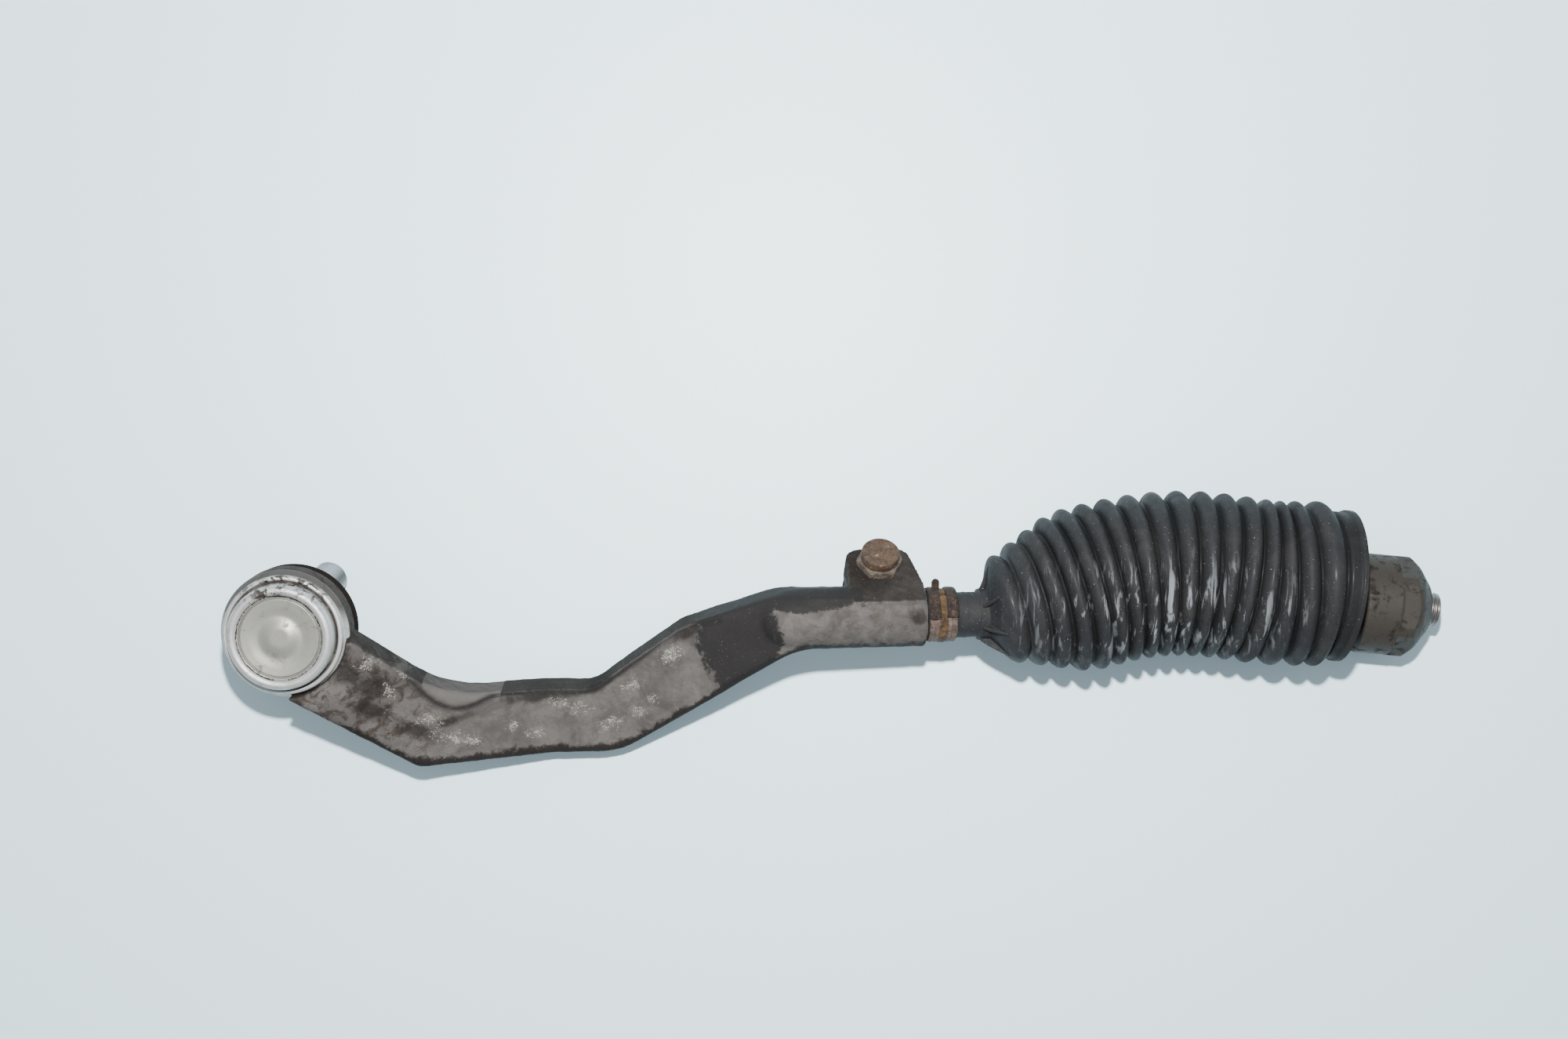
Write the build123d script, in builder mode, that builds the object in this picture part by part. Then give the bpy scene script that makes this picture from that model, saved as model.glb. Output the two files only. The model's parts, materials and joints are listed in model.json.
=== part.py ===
from build123d import *
import os
from math import cos, radians, sin, sqrt

# A cranked tie rod lying on a table, with z = 0 at the table top. Millimetres and degrees.
# +X runs from the outer ball joint to the inner one, +Y is the side to which the bellows bows.

# Inner ball joint: its housing lies level on the table
housing_radius = 20.1
housing_heading = -5.4
inner_ball_x = 218.34
inner_ball_y = 9.36
inner_ball_radius = 11.5
inner_neck_radius = 5.5
inner_neck_length = 18.0
housing_lip = 14.0
housing_lip_radius = 15.5
housing_back = 10.0
housing_shoulder = 9.0
housing_nose = 17.4
housing_nose_radius = 10.0
housing_mouth_radius = 13.0
housing_throat_radius = 10.5
wrench_across_flats = 36.5
wrench_start = 3.0
stub_radius = 6.9
stub_length = 5.0
bearing_wall = 1.75
pad_radius = 7.0
pad_end = 15.0

# Rod, which climbs from the inner joint to the clamp sleeve
rod_radius = 7.0
rod_pitch = 6.0
rod_yaw = 1.1
rod_length = 222.0
rod_end_gap = 7.0

# Clamp sleeve at the inner end of the forging
sleeve_radius = 12.0
sleeve_end = 186.2
sleeve_end_chamfer = 0.6
sleeve_floor = 6.0
clamp_station = 203.2
clamp_angle = 46.0
bolt_offset = 16.3
ear_half_thickness = 12.6
ear_wrap = 4.1
ear_outboard = 13.0
ear_inboard = 11.5
ear_tip = 8.7
ear_corner_radius = 6.0
slot_width = 2.4
slot_past_ear = 6.0

# Pinch bolt, M10
bolt_radius = 5.0
bolt_hole_clearance = 0.25
bolt_across_flats = 16.0
bolt_head_height = 7.2
bolt_crown_radius = 7.6
bolt_crown_start = 3.0
bolt_crown_edge = 0.8
bolt_point = 2.0

# Outer ball joint, whose housing leans over by a few degrees
joint_span = 433.9
joint_side_step = 9.2
joint_rise = 20.9
head_lean = 8.0
head_radius = 25.0
head_body_top = 6.5
head_shoulder_radius = 23.2
head_shoulder_top = 11.6
head_groove_radius = 21.4
head_groove_floor = 10.2
head_lip_radius = 20.6
head_lip_top = 17.8
head_lip_inner = 16.4
head_foot = 12.0
head_foot_radius = 19.4
head_mouth_radius = 11.7
socket_ledge_radius = 12.8
boot_groove_radius = 18.6
boot_groove_top = 7.4
boot_groove_bottom = 11.1
outer_ball_radius = 13.5
shell_wall = 2.5
shell_below = 5.5
cap_overlap = 1.7
cap_thickness = 2.0
cap_boss_radius = 5.6
cap_boss_height = 1.4
cap_dish_depth = 0.9

# Ball stud, flopped over to the end of its swing
stud_tilt = 23.0
stud_heading = 59.8
stud_length = 43.8
stud_radius = 7.0
stud_chamfer = 0.8
stud_neck_radius = 5.9
stud_collar_radius = 8.6
stud_collar_start = 20.0
stud_collar_end = 29.0

# Dust boot between the ball housing and the stud
boot_wall = 1.5
boot_bulge_radius = 25.1
boot_bulge_drop = 13.0
boot_bulge_shift = 1.1
boot_belly_drop = 20.5
boot_belly_radius = 20.5
boot_waist_radius = 13.5
boot_waist_station = 23.2
boot_lip_radius = 10.6
boot_lip_start = 24.8
boot_lip_end = 28.4
clamp_wire_radius = 1.0
lip_wire_radius = 0.8

# Cranked arm, a flat forging that lies rolled over by a few degrees
arm_roll = 16.0
arm_thickness = 17.0
arm_edge_radius = 3.0
belly_bend_radius = 35.0
belly_start = 98.9
belly_end = 128.9
belly_drop = 18.0
belly_end_drop = 19.0
head_side_rise = 11.5

# Outline of the arm in its own plane: the neck at the ball housing, the elbow, the knee, the shoulder
neck_outer_drop = 22.3
neck_inner_rise = 2.5
neck_inner_reach = 21.5
elbow_outer_reach = 48.5
elbow_outer_drop = 56.8
elbow_outer_radius = 8.0
elbow_inner_reach = 58.5
elbow_inner_drop = 27.4
elbow_inner_radius = 50.0
knee_outer_reach = 128.0
knee_outer_drop = 56.2
knee_outer_radius = 26.0
knee_inner_reach = 117.5
knee_inner_drop = 29.2
knee_inner_radius = 14.0
shoulder_back = 46.9
shoulder_drop = 5.9
shoulder_radius = 30.0
root_back = 8.0
root_lead = 1.3
root_sink = 0.3
root_half_width = 10.4
root_crown = 0.9
slab_end_gap = 12.0
neck_corner_radius = 4.0

# Bellows
bellows_wall = 2.0
cuff_radius = 8.9
cuff_start = 185.6
cuff_end = 163.9
convolutions = 17
convolution_pitch = 7.73
convolution_depth = 6.2
first_crest_radius = 21.9
crest_growth = 3.1
full_crest_radius = 32.5
crest_flat = 2.2
cone_length = 10.8
cone_step = 3.8
mouth_radius = 29.0
mouth_bead_radius = 29.8
mouth_length = 8.2
bead_length = 2.6
bellows_bow = (
    Vector(-152.2, -1.1, 16.4),
    Vector(-131.5, 4.4, 14.4),
    Vector(-108.5, 10.2, 12.9),
    Vector(-84.3, 12.9, 12.8),
    Vector(-62.3, 11.2, 12.7),
    Vector(-46.2, 9.1, 12.7),
    Vector(-29.0, 8.7, 12.6),
    Vector(-17.6, 7.7, 11.6),
)

# Spring clip on the small cuff of the bellows
clip_thickness = 0.8
clip_width = 11.0
clip_start = 0.4
clip_gap = 0.9
clip_gap_offset = 2.2
clip_finger_arc = 125.0
clip_tang_width = 3.3
clip_tang_height = 4.6
clip_tang_thickness = 1.4

# Fits
ball_clearance = 0.04
seat_clearance = 0.05
bore_clearance = 0.05

# Frames worked out from the sizes above
inner_ball = Vector(inner_ball_x, inner_ball_y, housing_radius)
outer_ball = inner_ball + Vector(-joint_span, -joint_side_step, joint_rise)
rod_direction = Vector(
    -cos(radians(rod_pitch)) * cos(radians(rod_yaw)),
    -cos(radians(rod_pitch)) * sin(radians(rod_yaw)),
    sin(radians(rod_pitch)),
)
bolt_direction = Vector(0, cos(radians(clamp_angle)), sin(radians(clamp_angle)))
bolt_direction = (bolt_direction - rod_direction * bolt_direction.dot(rod_direction)).normalized()
rod_plane = Plane(origin=inner_ball, x_dir=bolt_direction, z_dir=rod_direction)
clamp_plane = Plane(
    origin=inner_ball + rod_direction * clamp_station,
    x_dir=rod_direction * -1,
    z_dir=bolt_direction,
)
housing_direction = Vector(cos(radians(housing_heading)), sin(radians(housing_heading)), 0)
housing_plane = Plane(origin=inner_ball, x_dir=(0, 0, 1), z_dir=housing_direction)
head_direction = Vector(0, -sin(radians(head_lean)), cos(radians(head_lean)))
head_plane = Plane(origin=outer_ball, x_dir=(1, 0, 0), z_dir=head_direction)
lean_direction = (
    head_plane.x_dir * cos(radians(stud_heading)) + head_plane.y_dir * sin(radians(stud_heading))
)
stud_direction = lean_direction * sin(radians(stud_tilt)) - head_direction * cos(radians(stud_tilt))
stud_plane = Plane(origin=outer_ball, x_dir=lean_direction.cross(head_direction), z_dir=stud_direction)
crank_plane = Plane(
    origin=outer_ball,
    x_dir=(1, 0, 0),
    z_dir=(0, -sin(radians(arm_roll)), cos(radians(arm_roll))),
)


def half_section(frame):
    """Plane of a turned piece's half-section: local x is the radius, local y runs along the axis."""
    return Plane(origin=frame.origin, x_dir=frame.x_dir, z_dir=frame.x_dir.cross(frame.z_dir))


def turning_axis(frame):
    """Axis about which a turned piece is made."""
    return Axis(frame.origin, frame.z_dir)


def sphere_station(radius, offset):
    """Distance along the axis at which a sphere has the given radius."""
    return sqrt(radius * radius - offset * offset)


def save(piece, name):
    """Label one finished piece and write its file."""
    piece.label = name
    export_step(piece, "parts/" + name + ".step")


os.makedirs("parts", exist_ok=True)

# Sizes that follow from the fits
socket_radius = outer_ball_radius + shell_wall + seat_clearance
shell_top = outer_ball_radius + ball_clearance + 0.6
cap_bottom = shell_top + seat_clearance
cap_top = cap_bottom + cap_thickness
cap_radius = head_lip_inner + cap_overlap
cavity_radius = inner_ball_radius + bearing_wall + 2 * seat_clearance
bolt_corner = bolt_across_flats / sqrt(3)
sleeve_bore_end = rod_length + rod_end_gap
sleeve_root = sleeve_bore_end + sleeve_floor
arm_reach = joint_span / 4

# Arm forging: the clamp sleeve, the cranked arm and the ball housing are one piece
root = crank_plane.to_local_coords(inner_ball + rod_direction * sleeve_root)
sleeve_front = crank_plane.to_local_coords(inner_ball + rod_direction * sleeve_end)
slab_end = crank_plane.to_local_coords(inner_ball + rod_direction * (sleeve_end + slab_end_gap))
side_plane = Plane(origin=outer_ball, x_dir=(1, 0, 0), z_dir=crank_plane.y_dir * -1)
with BuildPart() as arm_forging:
    with BuildSketch(side_plane):
        with BuildLine():
            FilletPolyline(
                (-head_side_rise / 2, head_side_rise),
                (belly_start, -belly_drop),
                (belly_end, -belly_end_drop),
                (root.X - root_lead, root.Z - root_sink),
                (sleeve_front.X, sleeve_front.Z - root_sink),
                radius=belly_bend_radius,
            )
        trace(line_width=arm_thickness)
    extrude(amount=arm_reach, both=True)
    with BuildSketch(crank_plane.offset(-arm_reach)):
        with BuildLine():
            FilletPolyline(
                (0, -neck_outer_drop),
                (elbow_outer_reach, -elbow_outer_drop),
                (knee_outer_reach, -knee_outer_drop),
                (root.X, root.Y - root_half_width),
                (slab_end.X, slab_end.Y - root_half_width),
                radius=[elbow_outer_radius, knee_outer_radius, shoulder_radius],
            )
            FilletPolyline(
                (slab_end.X, slab_end.Y + root_half_width),
                (root.X - root_back, root.Y + root_half_width + root_crown),
                (root.X - shoulder_back, root.Y - shoulder_drop),
                (knee_inner_reach, -knee_inner_drop),
                (elbow_inner_reach, -elbow_inner_drop),
                (neck_inner_reach, neck_inner_rise),
                (0, neck_inner_rise),
                radius=[
                    shoulder_radius,
                    shoulder_radius,
                    knee_inner_radius,
                    elbow_inner_radius,
                    neck_corner_radius,
                ],
            )
            Line((0, -neck_outer_drop), (0, neck_inner_rise))
            Line(
                (slab_end.X, slab_end.Y - root_half_width),
                (slab_end.X, slab_end.Y + root_half_width),
            )
        make_face()
    extrude(amount=2 * arm_reach, mode=Mode.INTERSECT)
    rims = arm_forging.edges().filter_by(lambda edge: abs(edge.tangent_at(0.5).dot(crank_plane.z_dir)) < 0.8)
    rims = rims.filter_by(lambda edge: edge.center().X < outer_ball.X + (root.X + slab_end.X) / 2)
    rims = rims.filter_by(lambda edge: edge.center().X > outer_ball.X + head_radius / 2)
    fillet(rims, radius=arm_edge_radius)
    # Clear the top of the ball housing, then turn the housing and the sleeve
    with BuildSketch(head_plane.offset(head_body_top)):
        Circle(head_radius)
    extrude(amount=40, mode=Mode.SUBTRACT)
    with BuildSketch(half_section(head_plane)):
        with BuildLine():
            Polyline(
                (0, -head_foot),
                (head_foot_radius, -head_foot),
                (head_foot_radius, -boot_groove_bottom),
                (boot_groove_radius, -boot_groove_bottom),
                (boot_groove_radius, -boot_groove_top),
                (head_radius - 2.2, -boot_groove_top + 0.6),
                (head_radius, -boot_groove_top + 4.0),
                (head_radius, head_body_top),
                (head_shoulder_radius, head_body_top + 2.4),
                (head_shoulder_radius, head_shoulder_top - 0.8),
                (head_shoulder_radius - 0.8, head_shoulder_top),
                (head_groove_radius + 0.4, head_shoulder_top),
                (head_groove_radius, head_groove_floor),
                (head_lip_radius, head_groove_floor),
                (head_lip_radius, head_lip_top - 1.9),
                (head_lip_radius - 0.7, head_lip_top - 0.6),
                (head_lip_radius - 2.0, head_lip_top),
                (0, head_lip_top),
                close=True,
            )
        make_face()
    revolve(axis=turning_axis(head_plane))
    with BuildSketch(half_section(rod_plane)):
        with BuildLine():
            Polyline(
                (0, sleeve_end),
                (sleeve_radius - sleeve_end_chamfer, sleeve_end),
                (sleeve_radius, sleeve_end + sleeve_end_chamfer),
                (sleeve_radius, sleeve_root),
            )
            Spline(
                (sleeve_radius, sleeve_root),
                (sleeve_radius * 0.72, sleeve_root + sleeve_radius * 0.95),
                (0, sleeve_root + sleeve_radius * 1.3),
                tangents=((0, 1), (-1, 0)),
            )
            Line((0, sleeve_root + sleeve_radius * 1.3), (0, sleeve_end))
        make_face()
    revolve(axis=turning_axis(rod_plane))
    # Clamp ears beside the sleeve
    ear_foot = clamp_station - sleeve_end - sleeve_end_chamfer
    with BuildSketch(clamp_plane.offset(-ear_half_thickness)):
        with BuildLine():
            FilletPolyline(
                (-ear_outboard, -ear_wrap),
                (-ear_outboard, bolt_offset + ear_tip),
                (ear_inboard, bolt_offset + ear_tip),
                (ear_foot, sleeve_radius / 2),
                (ear_foot, -ear_wrap),
                radius=ear_corner_radius,
            )
            Line((ear_foot, -ear_wrap), (-ear_outboard, -ear_wrap))
        make_face()
    extrude(amount=2 * ear_half_thickness)
    # Socket, its ledge, its mouth and the seat of the closing cap
    with BuildSketch(half_section(head_plane)):
        with BuildLine():
            Polyline(
                (0, -head_foot - 1),
                (head_mouth_radius, -head_foot - 1),
                (head_mouth_radius, -head_foot),
                (socket_ledge_radius, -shell_below - 1.2),
                (socket_ledge_radius, -shell_below - seat_clearance),
                (socket_radius, -shell_below - seat_clearance),
                (socket_radius, cap_bottom - seat_clearance),
                (cap_radius + seat_clearance, cap_bottom - seat_clearance),
                (cap_radius + seat_clearance, cap_top + seat_clearance),
                (head_lip_inner, cap_top + seat_clearance),
                (head_lip_inner + 0.8, head_lip_top + 0.1),
                (0, head_lip_top + 0.1),
                close=True,
            )
        make_face()
    revolve(axis=turning_axis(head_plane), mode=Mode.SUBTRACT)
    # Bore for the rod, clamp slot and bolt hole
    with BuildSketch(rod_plane.offset(sleeve_end - 1)):
        Circle(rod_radius + bore_clearance)
    extrude(amount=sleeve_bore_end - sleeve_end + 1, mode=Mode.SUBTRACT)
    with BuildSketch(clamp_plane.offset(-slot_width / 2)):
        with BuildLine():
            Polyline(
                (-ear_outboard - slot_past_ear, 0),
                (-ear_outboard - slot_past_ear, bolt_offset + ear_tip + 2),
                (clamp_station - sleeve_end + 2, bolt_offset + ear_tip + 2),
                (clamp_station - sleeve_end + 2, 0),
                close=True,
            )
        make_face()
    extrude(amount=slot_width, mode=Mode.SUBTRACT)
    with BuildSketch(clamp_plane.offset(-ear_half_thickness - 1)):
        with Locations((0, bolt_offset)):
            Circle(bolt_radius + ball_clearance)
    extrude(amount=2 * ear_half_thickness + 2, mode=Mode.SUBTRACT)
    with BuildSketch(clamp_plane):
        with Locations((0, bolt_offset)):
            Circle(bolt_radius + bolt_hole_clearance)
    extrude(amount=ear_half_thickness + 1, mode=Mode.SUBTRACT)
save(arm_forging.part, "arm_forging")

# Closing cap, a dished steel disc with a raised boss
with BuildPart() as closure_cap:
    dish = cap_top - cap_dish_depth
    with BuildSketch(half_section(head_plane)):
        with BuildLine():
            Polyline(
                (0, cap_bottom),
                (cap_radius, cap_bottom),
                (cap_radius, cap_top),
                (head_lip_inner - 0.6, cap_top),
                (head_lip_inner - 1.6, dish + 0.4),
                (head_lip_inner - 2.6, dish),
                (cap_boss_radius + 1.8, dish),
                (cap_boss_radius + 1.0, dish + 0.4),
                (cap_boss_radius, dish + cap_boss_height),
                (cap_boss_radius - 1.4, dish + cap_boss_height + 0.3),
                (0, dish + cap_boss_height + 0.5),
                close=True,
            )
        make_face()
    revolve(axis=turning_axis(head_plane))
save(closure_cap.part, "closure_cap")

# Outer bearing shell, a moulded cup round the ball
with BuildPart() as outer_bearing_shell:
    with BuildSketch(half_section(head_plane)):
        with BuildLine():
            shell_mouth = sphere_station(outer_ball_radius + ball_clearance, shell_below)
            Line((shell_mouth, -shell_below), (socket_radius - seat_clearance, -shell_below))
            Line((socket_radius - seat_clearance, -shell_below), (socket_radius - seat_clearance, shell_top))
            Line((socket_radius - seat_clearance, shell_top), (0, shell_top))
            Line((0, shell_top), (0, outer_ball_radius + ball_clearance))
            ThreePointArc(
                (0, outer_ball_radius + ball_clearance),
                (outer_ball_radius + ball_clearance, 0),
                (shell_mouth, -shell_below),
            )
        make_face()
    revolve(axis=turning_axis(head_plane))
save(outer_bearing_shell.part, "outer_bearing_shell")

# Ball stud with a smooth shank
with BuildPart() as ball_stud:
    neck_root = sphere_station(outer_ball_radius, stud_neck_radius)
    with BuildSketch(half_section(stud_plane)):
        with BuildLine():
            ThreePointArc((0, -outer_ball_radius), (outer_ball_radius, 0), (stud_neck_radius, neck_root))
            Polyline(
                (stud_neck_radius, neck_root),
                (stud_neck_radius, stud_collar_start - 3),
                (stud_collar_radius, stud_collar_start),
                (stud_collar_radius, stud_collar_end),
                (stud_radius, stud_collar_end + 0.8),
                (stud_radius, stud_length - stud_chamfer),
                (stud_radius - stud_chamfer, stud_length),
                (0, stud_length),
                (0, -outer_ball_radius),
            )
        make_face()
    revolve(axis=turning_axis(stud_plane))
save(ball_stud.part, "ball_stud")

# Dust boot: its rings turn from the axis of the housing to the axis of the stud
boot_plane = Plane(origin=outer_ball, x_dir=head_plane.x_dir, z_dir=head_direction * -1)
bulge_plane = Plane(
    origin=outer_ball - head_direction * boot_bulge_drop - lean_direction * boot_bulge_shift,
    x_dir=head_plane.x_dir,
    z_dir=head_direction * -1,
)
middle_direction = (stud_direction - head_direction).normalized()
belly_plane = Plane(
    origin=outer_ball + middle_direction * boot_belly_drop - lean_direction * boot_bulge_shift,
    x_dir=head_plane.x_dir,
    z_dir=middle_direction,
)
with BuildPart() as dust_boot:
    for ring_plane, ring_radius in (
        (boot_plane.offset(boot_groove_top + seat_clearance), boot_groove_radius + boot_wall),
        (boot_plane.offset(boot_groove_bottom - 0.6), boot_groove_radius + boot_wall),
        (bulge_plane.offset(-0.8), boot_bulge_radius - 0.5),
        (bulge_plane, boot_bulge_radius),
        (belly_plane, boot_belly_radius),
        (stud_plane.offset(boot_waist_station), boot_waist_radius),
        (stud_plane.offset(boot_lip_start), boot_lip_radius),
        (stud_plane.offset(boot_lip_end), boot_lip_radius),
    ):
        with BuildSketch(ring_plane):
            Circle(ring_radius)
    loft(ruled=True)
    for ring_plane, ring_radius in (
        (boot_plane.offset(head_foot - 0.3), head_foot_radius + 0.3),
        (bulge_plane, boot_bulge_radius - boot_wall),
        (belly_plane.offset(-boot_wall), boot_belly_radius - boot_wall),
        (stud_plane.offset(boot_waist_station - boot_wall), boot_waist_radius - boot_wall),
        (stud_plane.offset(boot_lip_start - 0.4), stud_collar_radius + seat_clearance),
    ):
        with BuildSketch(ring_plane):
            Circle(ring_radius)
    loft(ruled=True, mode=Mode.SUBTRACT)
    with BuildSketch(boot_plane.offset(boot_groove_top - 1)):
        Circle(boot_groove_radius + seat_clearance)
    extrude(amount=head_foot - boot_groove_top + 1, mode=Mode.SUBTRACT)
    with BuildSketch(boot_plane.offset(boot_groove_bottom - seat_clearance)):
        Circle(head_foot_radius + 0.3)
    extrude(amount=head_foot - boot_groove_bottom, mode=Mode.SUBTRACT)
    with BuildSketch(stud_plane.offset(boot_waist_station - 1)):
        Circle(stud_collar_radius + seat_clearance)
    extrude(amount=boot_lip_end - boot_waist_station + 2, mode=Mode.SUBTRACT)
save(dust_boot.part, "dust_boot")

# Wire rings that hold the two ends of the boot
with BuildPart() as dust_boot_clamp_ring:
    with BuildSketch(half_section(head_plane)):
        with Locations((
            boot_groove_radius + boot_wall + 0.05 + clamp_wire_radius,
            -(boot_groove_top + boot_groove_bottom - 0.6) / 2,
        )):
            Circle(clamp_wire_radius)
    revolve(axis=turning_axis(head_plane))
save(dust_boot_clamp_ring.part, "dust_boot_clamp_ring")

with BuildPart() as dust_boot_lip_ring:
    with BuildSketch(half_section(stud_plane)):
        with Locations((boot_lip_radius + 0.05 + lip_wire_radius, (boot_lip_start + boot_lip_end) / 2)):
            Circle(lip_wire_radius)
    revolve(axis=turning_axis(stud_plane))
save(dust_boot_lip_ring.part, "dust_boot_lip_ring")

# Pinch bolt, with a hexagon head and a deep crown
head_seat = Plane(
    origin=clamp_plane.from_local_coords((0, bolt_offset, ear_half_thickness)),
    x_dir=clamp_plane.x_dir,
    z_dir=clamp_plane.z_dir,
)
with BuildPart() as pinch_bolt:
    with BuildSketch(head_seat):
        RegularPolygon(bolt_across_flats / 2, 6, major_radius=False)
    extrude(amount=bolt_head_height)
    with BuildSketch(half_section(head_seat)):
        with BuildLine():
            Polyline(
                (0, 0),
                (bolt_corner, 0),
                (bolt_corner, bolt_crown_start),
                (bolt_crown_radius, bolt_head_height - bolt_crown_edge),
                (bolt_crown_radius - bolt_crown_edge, bolt_head_height),
                (0, bolt_head_height),
                close=True,
            )
        make_face()
    revolve(axis=turning_axis(head_seat), mode=Mode.INTERSECT)
    with BuildSketch(head_seat):
        Circle(bolt_radius)
    extrude(amount=-2 * ear_half_thickness - bolt_point)
save(pinch_bolt.part, "pinch_bolt")

# Rod with its inner ball, turned from one bar
with BuildPart() as tie_rod_shaft:
    inner_neck_root = sphere_station(inner_ball_radius, inner_neck_radius)
    with BuildSketch(half_section(rod_plane)):
        with BuildLine():
            ThreePointArc(
                (0, -inner_ball_radius),
                (inner_ball_radius, 0),
                (inner_neck_radius, inner_neck_root),
            )
            Polyline(
                (inner_neck_radius, inner_neck_root),
                (inner_neck_radius, inner_neck_length),
                (rod_radius, inner_neck_length + 4),
                (rod_radius, rod_length - 1.5),
                (rod_radius - 1.5, rod_length),
                (0, rod_length),
                (0, -inner_ball_radius),
            )
        make_face()
    revolve(axis=turning_axis(rod_plane))
save(tie_rod_shaft.part, "tie_rod_shaft")

# Inner bearing shell, moulded round the ball and open towards the neck of the rod
with BuildPart() as inner_bearing_shell:
    with BuildSketch(half_section(rod_plane)):
        with BuildLine():
            bearing_inside = inner_ball_radius + ball_clearance
            bearing_outside = inner_ball_radius + bearing_wall
            bearing_mouth = inner_neck_radius + 1.2
            ThreePointArc(
                (0, -bearing_inside),
                (bearing_inside, 0),
                (bearing_mouth, sphere_station(bearing_inside, bearing_mouth)),
            )
            Line(
                (bearing_mouth, sphere_station(bearing_inside, bearing_mouth)),
                (bearing_mouth, sphere_station(bearing_outside, bearing_mouth)),
            )
            ThreePointArc(
                (bearing_mouth, sphere_station(bearing_outside, bearing_mouth)),
                (bearing_outside, 0),
                (0, -bearing_outside),
            )
            Line((0, -bearing_outside), (0, -bearing_inside))
        make_face()
    revolve(axis=turning_axis(rod_plane))
save(inner_bearing_shell.part, "inner_bearing_shell")

# Pressure pad between the bearing shell and the floor of the housing
with BuildPart() as inner_pressure_pad:
    with BuildSketch(half_section(housing_plane)):
        with BuildLine():
            pad_rim = sphere_station(cavity_radius, pad_radius)
            ThreePointArc(
                (0, cavity_radius),
                (pad_radius / 2, sphere_station(cavity_radius, pad_radius / 2)),
                (pad_radius, pad_rim),
            )
            Polyline((pad_radius, pad_rim), (pad_radius, pad_end), (0, pad_end), (0, cavity_radius))
        make_face()
    revolve(axis=turning_axis(housing_plane))
save(inner_pressure_pad.part, "inner_pressure_pad")

# Inner joint housing with its rolled lip, wrench flats and stub
with BuildPart() as inner_joint_housing:
    with BuildSketch(half_section(housing_plane)):
        with BuildLine():
            Polyline(
                (0, -housing_lip),
                (housing_lip_radius - 1.2, -housing_lip),
                (housing_lip_radius, -housing_lip + 0.5),
                (housing_radius - 1.2, -housing_back - 1.4),
                (housing_radius, -housing_back),
                (housing_radius, housing_shoulder),
                (housing_nose_radius, housing_nose),
                (stub_radius, housing_nose),
                (stub_radius, housing_nose + stub_length - 0.8),
                (stub_radius - 0.8, housing_nose + stub_length),
                (0, housing_nose + stub_length),
                close=True,
            )
        make_face()
    revolve(axis=turning_axis(housing_plane))
    with BuildSketch(housing_plane.offset(wrench_start)):
        Circle(housing_radius + 2)
        RegularPolygon(wrench_across_flats / 2, 6, major_radius=False, rotation=30, mode=Mode.SUBTRACT)
    extrude(amount=housing_nose - wrench_start, mode=Mode.SUBTRACT)
    with BuildSketch(half_section(housing_plane)):
        with BuildLine():
            throat_station = -sphere_station(cavity_radius, housing_throat_radius)
            Polyline(
                (0, -housing_lip - 1),
                (housing_mouth_radius, -housing_lip - 1),
                (housing_mouth_radius, -housing_lip),
                (housing_throat_radius, throat_station),
            )
            ThreePointArc((housing_throat_radius, throat_station), (cavity_radius, 0), (pad_radius, pad_rim))
            Polyline(
                (pad_radius, pad_rim),
                (pad_radius + seat_clearance, pad_rim),
                (pad_radius + seat_clearance, pad_end + seat_clearance),
                (0, pad_end + seat_clearance),
                (0, -housing_lip - 1),
            )
        make_face()
    revolve(axis=turning_axis(housing_plane), mode=Mode.SUBTRACT)
save(inner_joint_housing.part, "inner_joint_housing")

# Bellows: rings along a bowed centre line, from the cuff on the rod to the open mouth
cuff_base = inner_ball + rod_direction * cuff_end
bow_line = Spline(
    [cuff_base] + [inner_ball + point for point in bellows_bow],
    tangents=[rod_direction * -1, Vector(0.99, -0.1, -0.05)],
)


def bellows_ring(distance):
    """Plane square to the bowed centre line at a distance from the end of the cuff."""
    share = min(distance / bow_line.length, 1)
    beyond = max(distance - bow_line.length, 0)
    along = bow_line.tangent_at(share)
    return Plane(
        origin=bow_line.position_at(share) + along * beyond,
        x_dir=Vector(0, 0, 1).cross(along),
        z_dir=along,
    )


def crest_radius(index):
    """Radius of one crest: the first few grow, the rest are alike."""
    return min(full_crest_radius, first_crest_radius + crest_growth * index)


bellows_profile = [
    (0.0, cuff_radius),
    (cone_step, cuff_radius + 1.6),
    (2 * cone_step, first_crest_radius - convolution_depth),
]
for crest in range(convolutions):
    station = cone_length + crest * convolution_pitch
    valley_radius = crest_radius(crest) - convolution_depth * min(1, 0.5 + 0.15 * crest)
    bellows_profile.append((station - crest_flat / 2, crest_radius(crest)))
    bellows_profile.append((station + crest_flat / 2, crest_radius(crest)))
    bellows_profile.append((station + convolution_pitch / 2, valley_radius))
last_valley = bellows_profile[-1][0]
collar_end = last_valley + mouth_length
bellows_profile.append((last_valley + 1.4, mouth_radius))
bellows_profile.append((collar_end - bead_length, mouth_radius))
bellows_profile.append((collar_end - bead_length + 0.4, mouth_bead_radius))
bellows_profile.append((collar_end, mouth_bead_radius))

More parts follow.
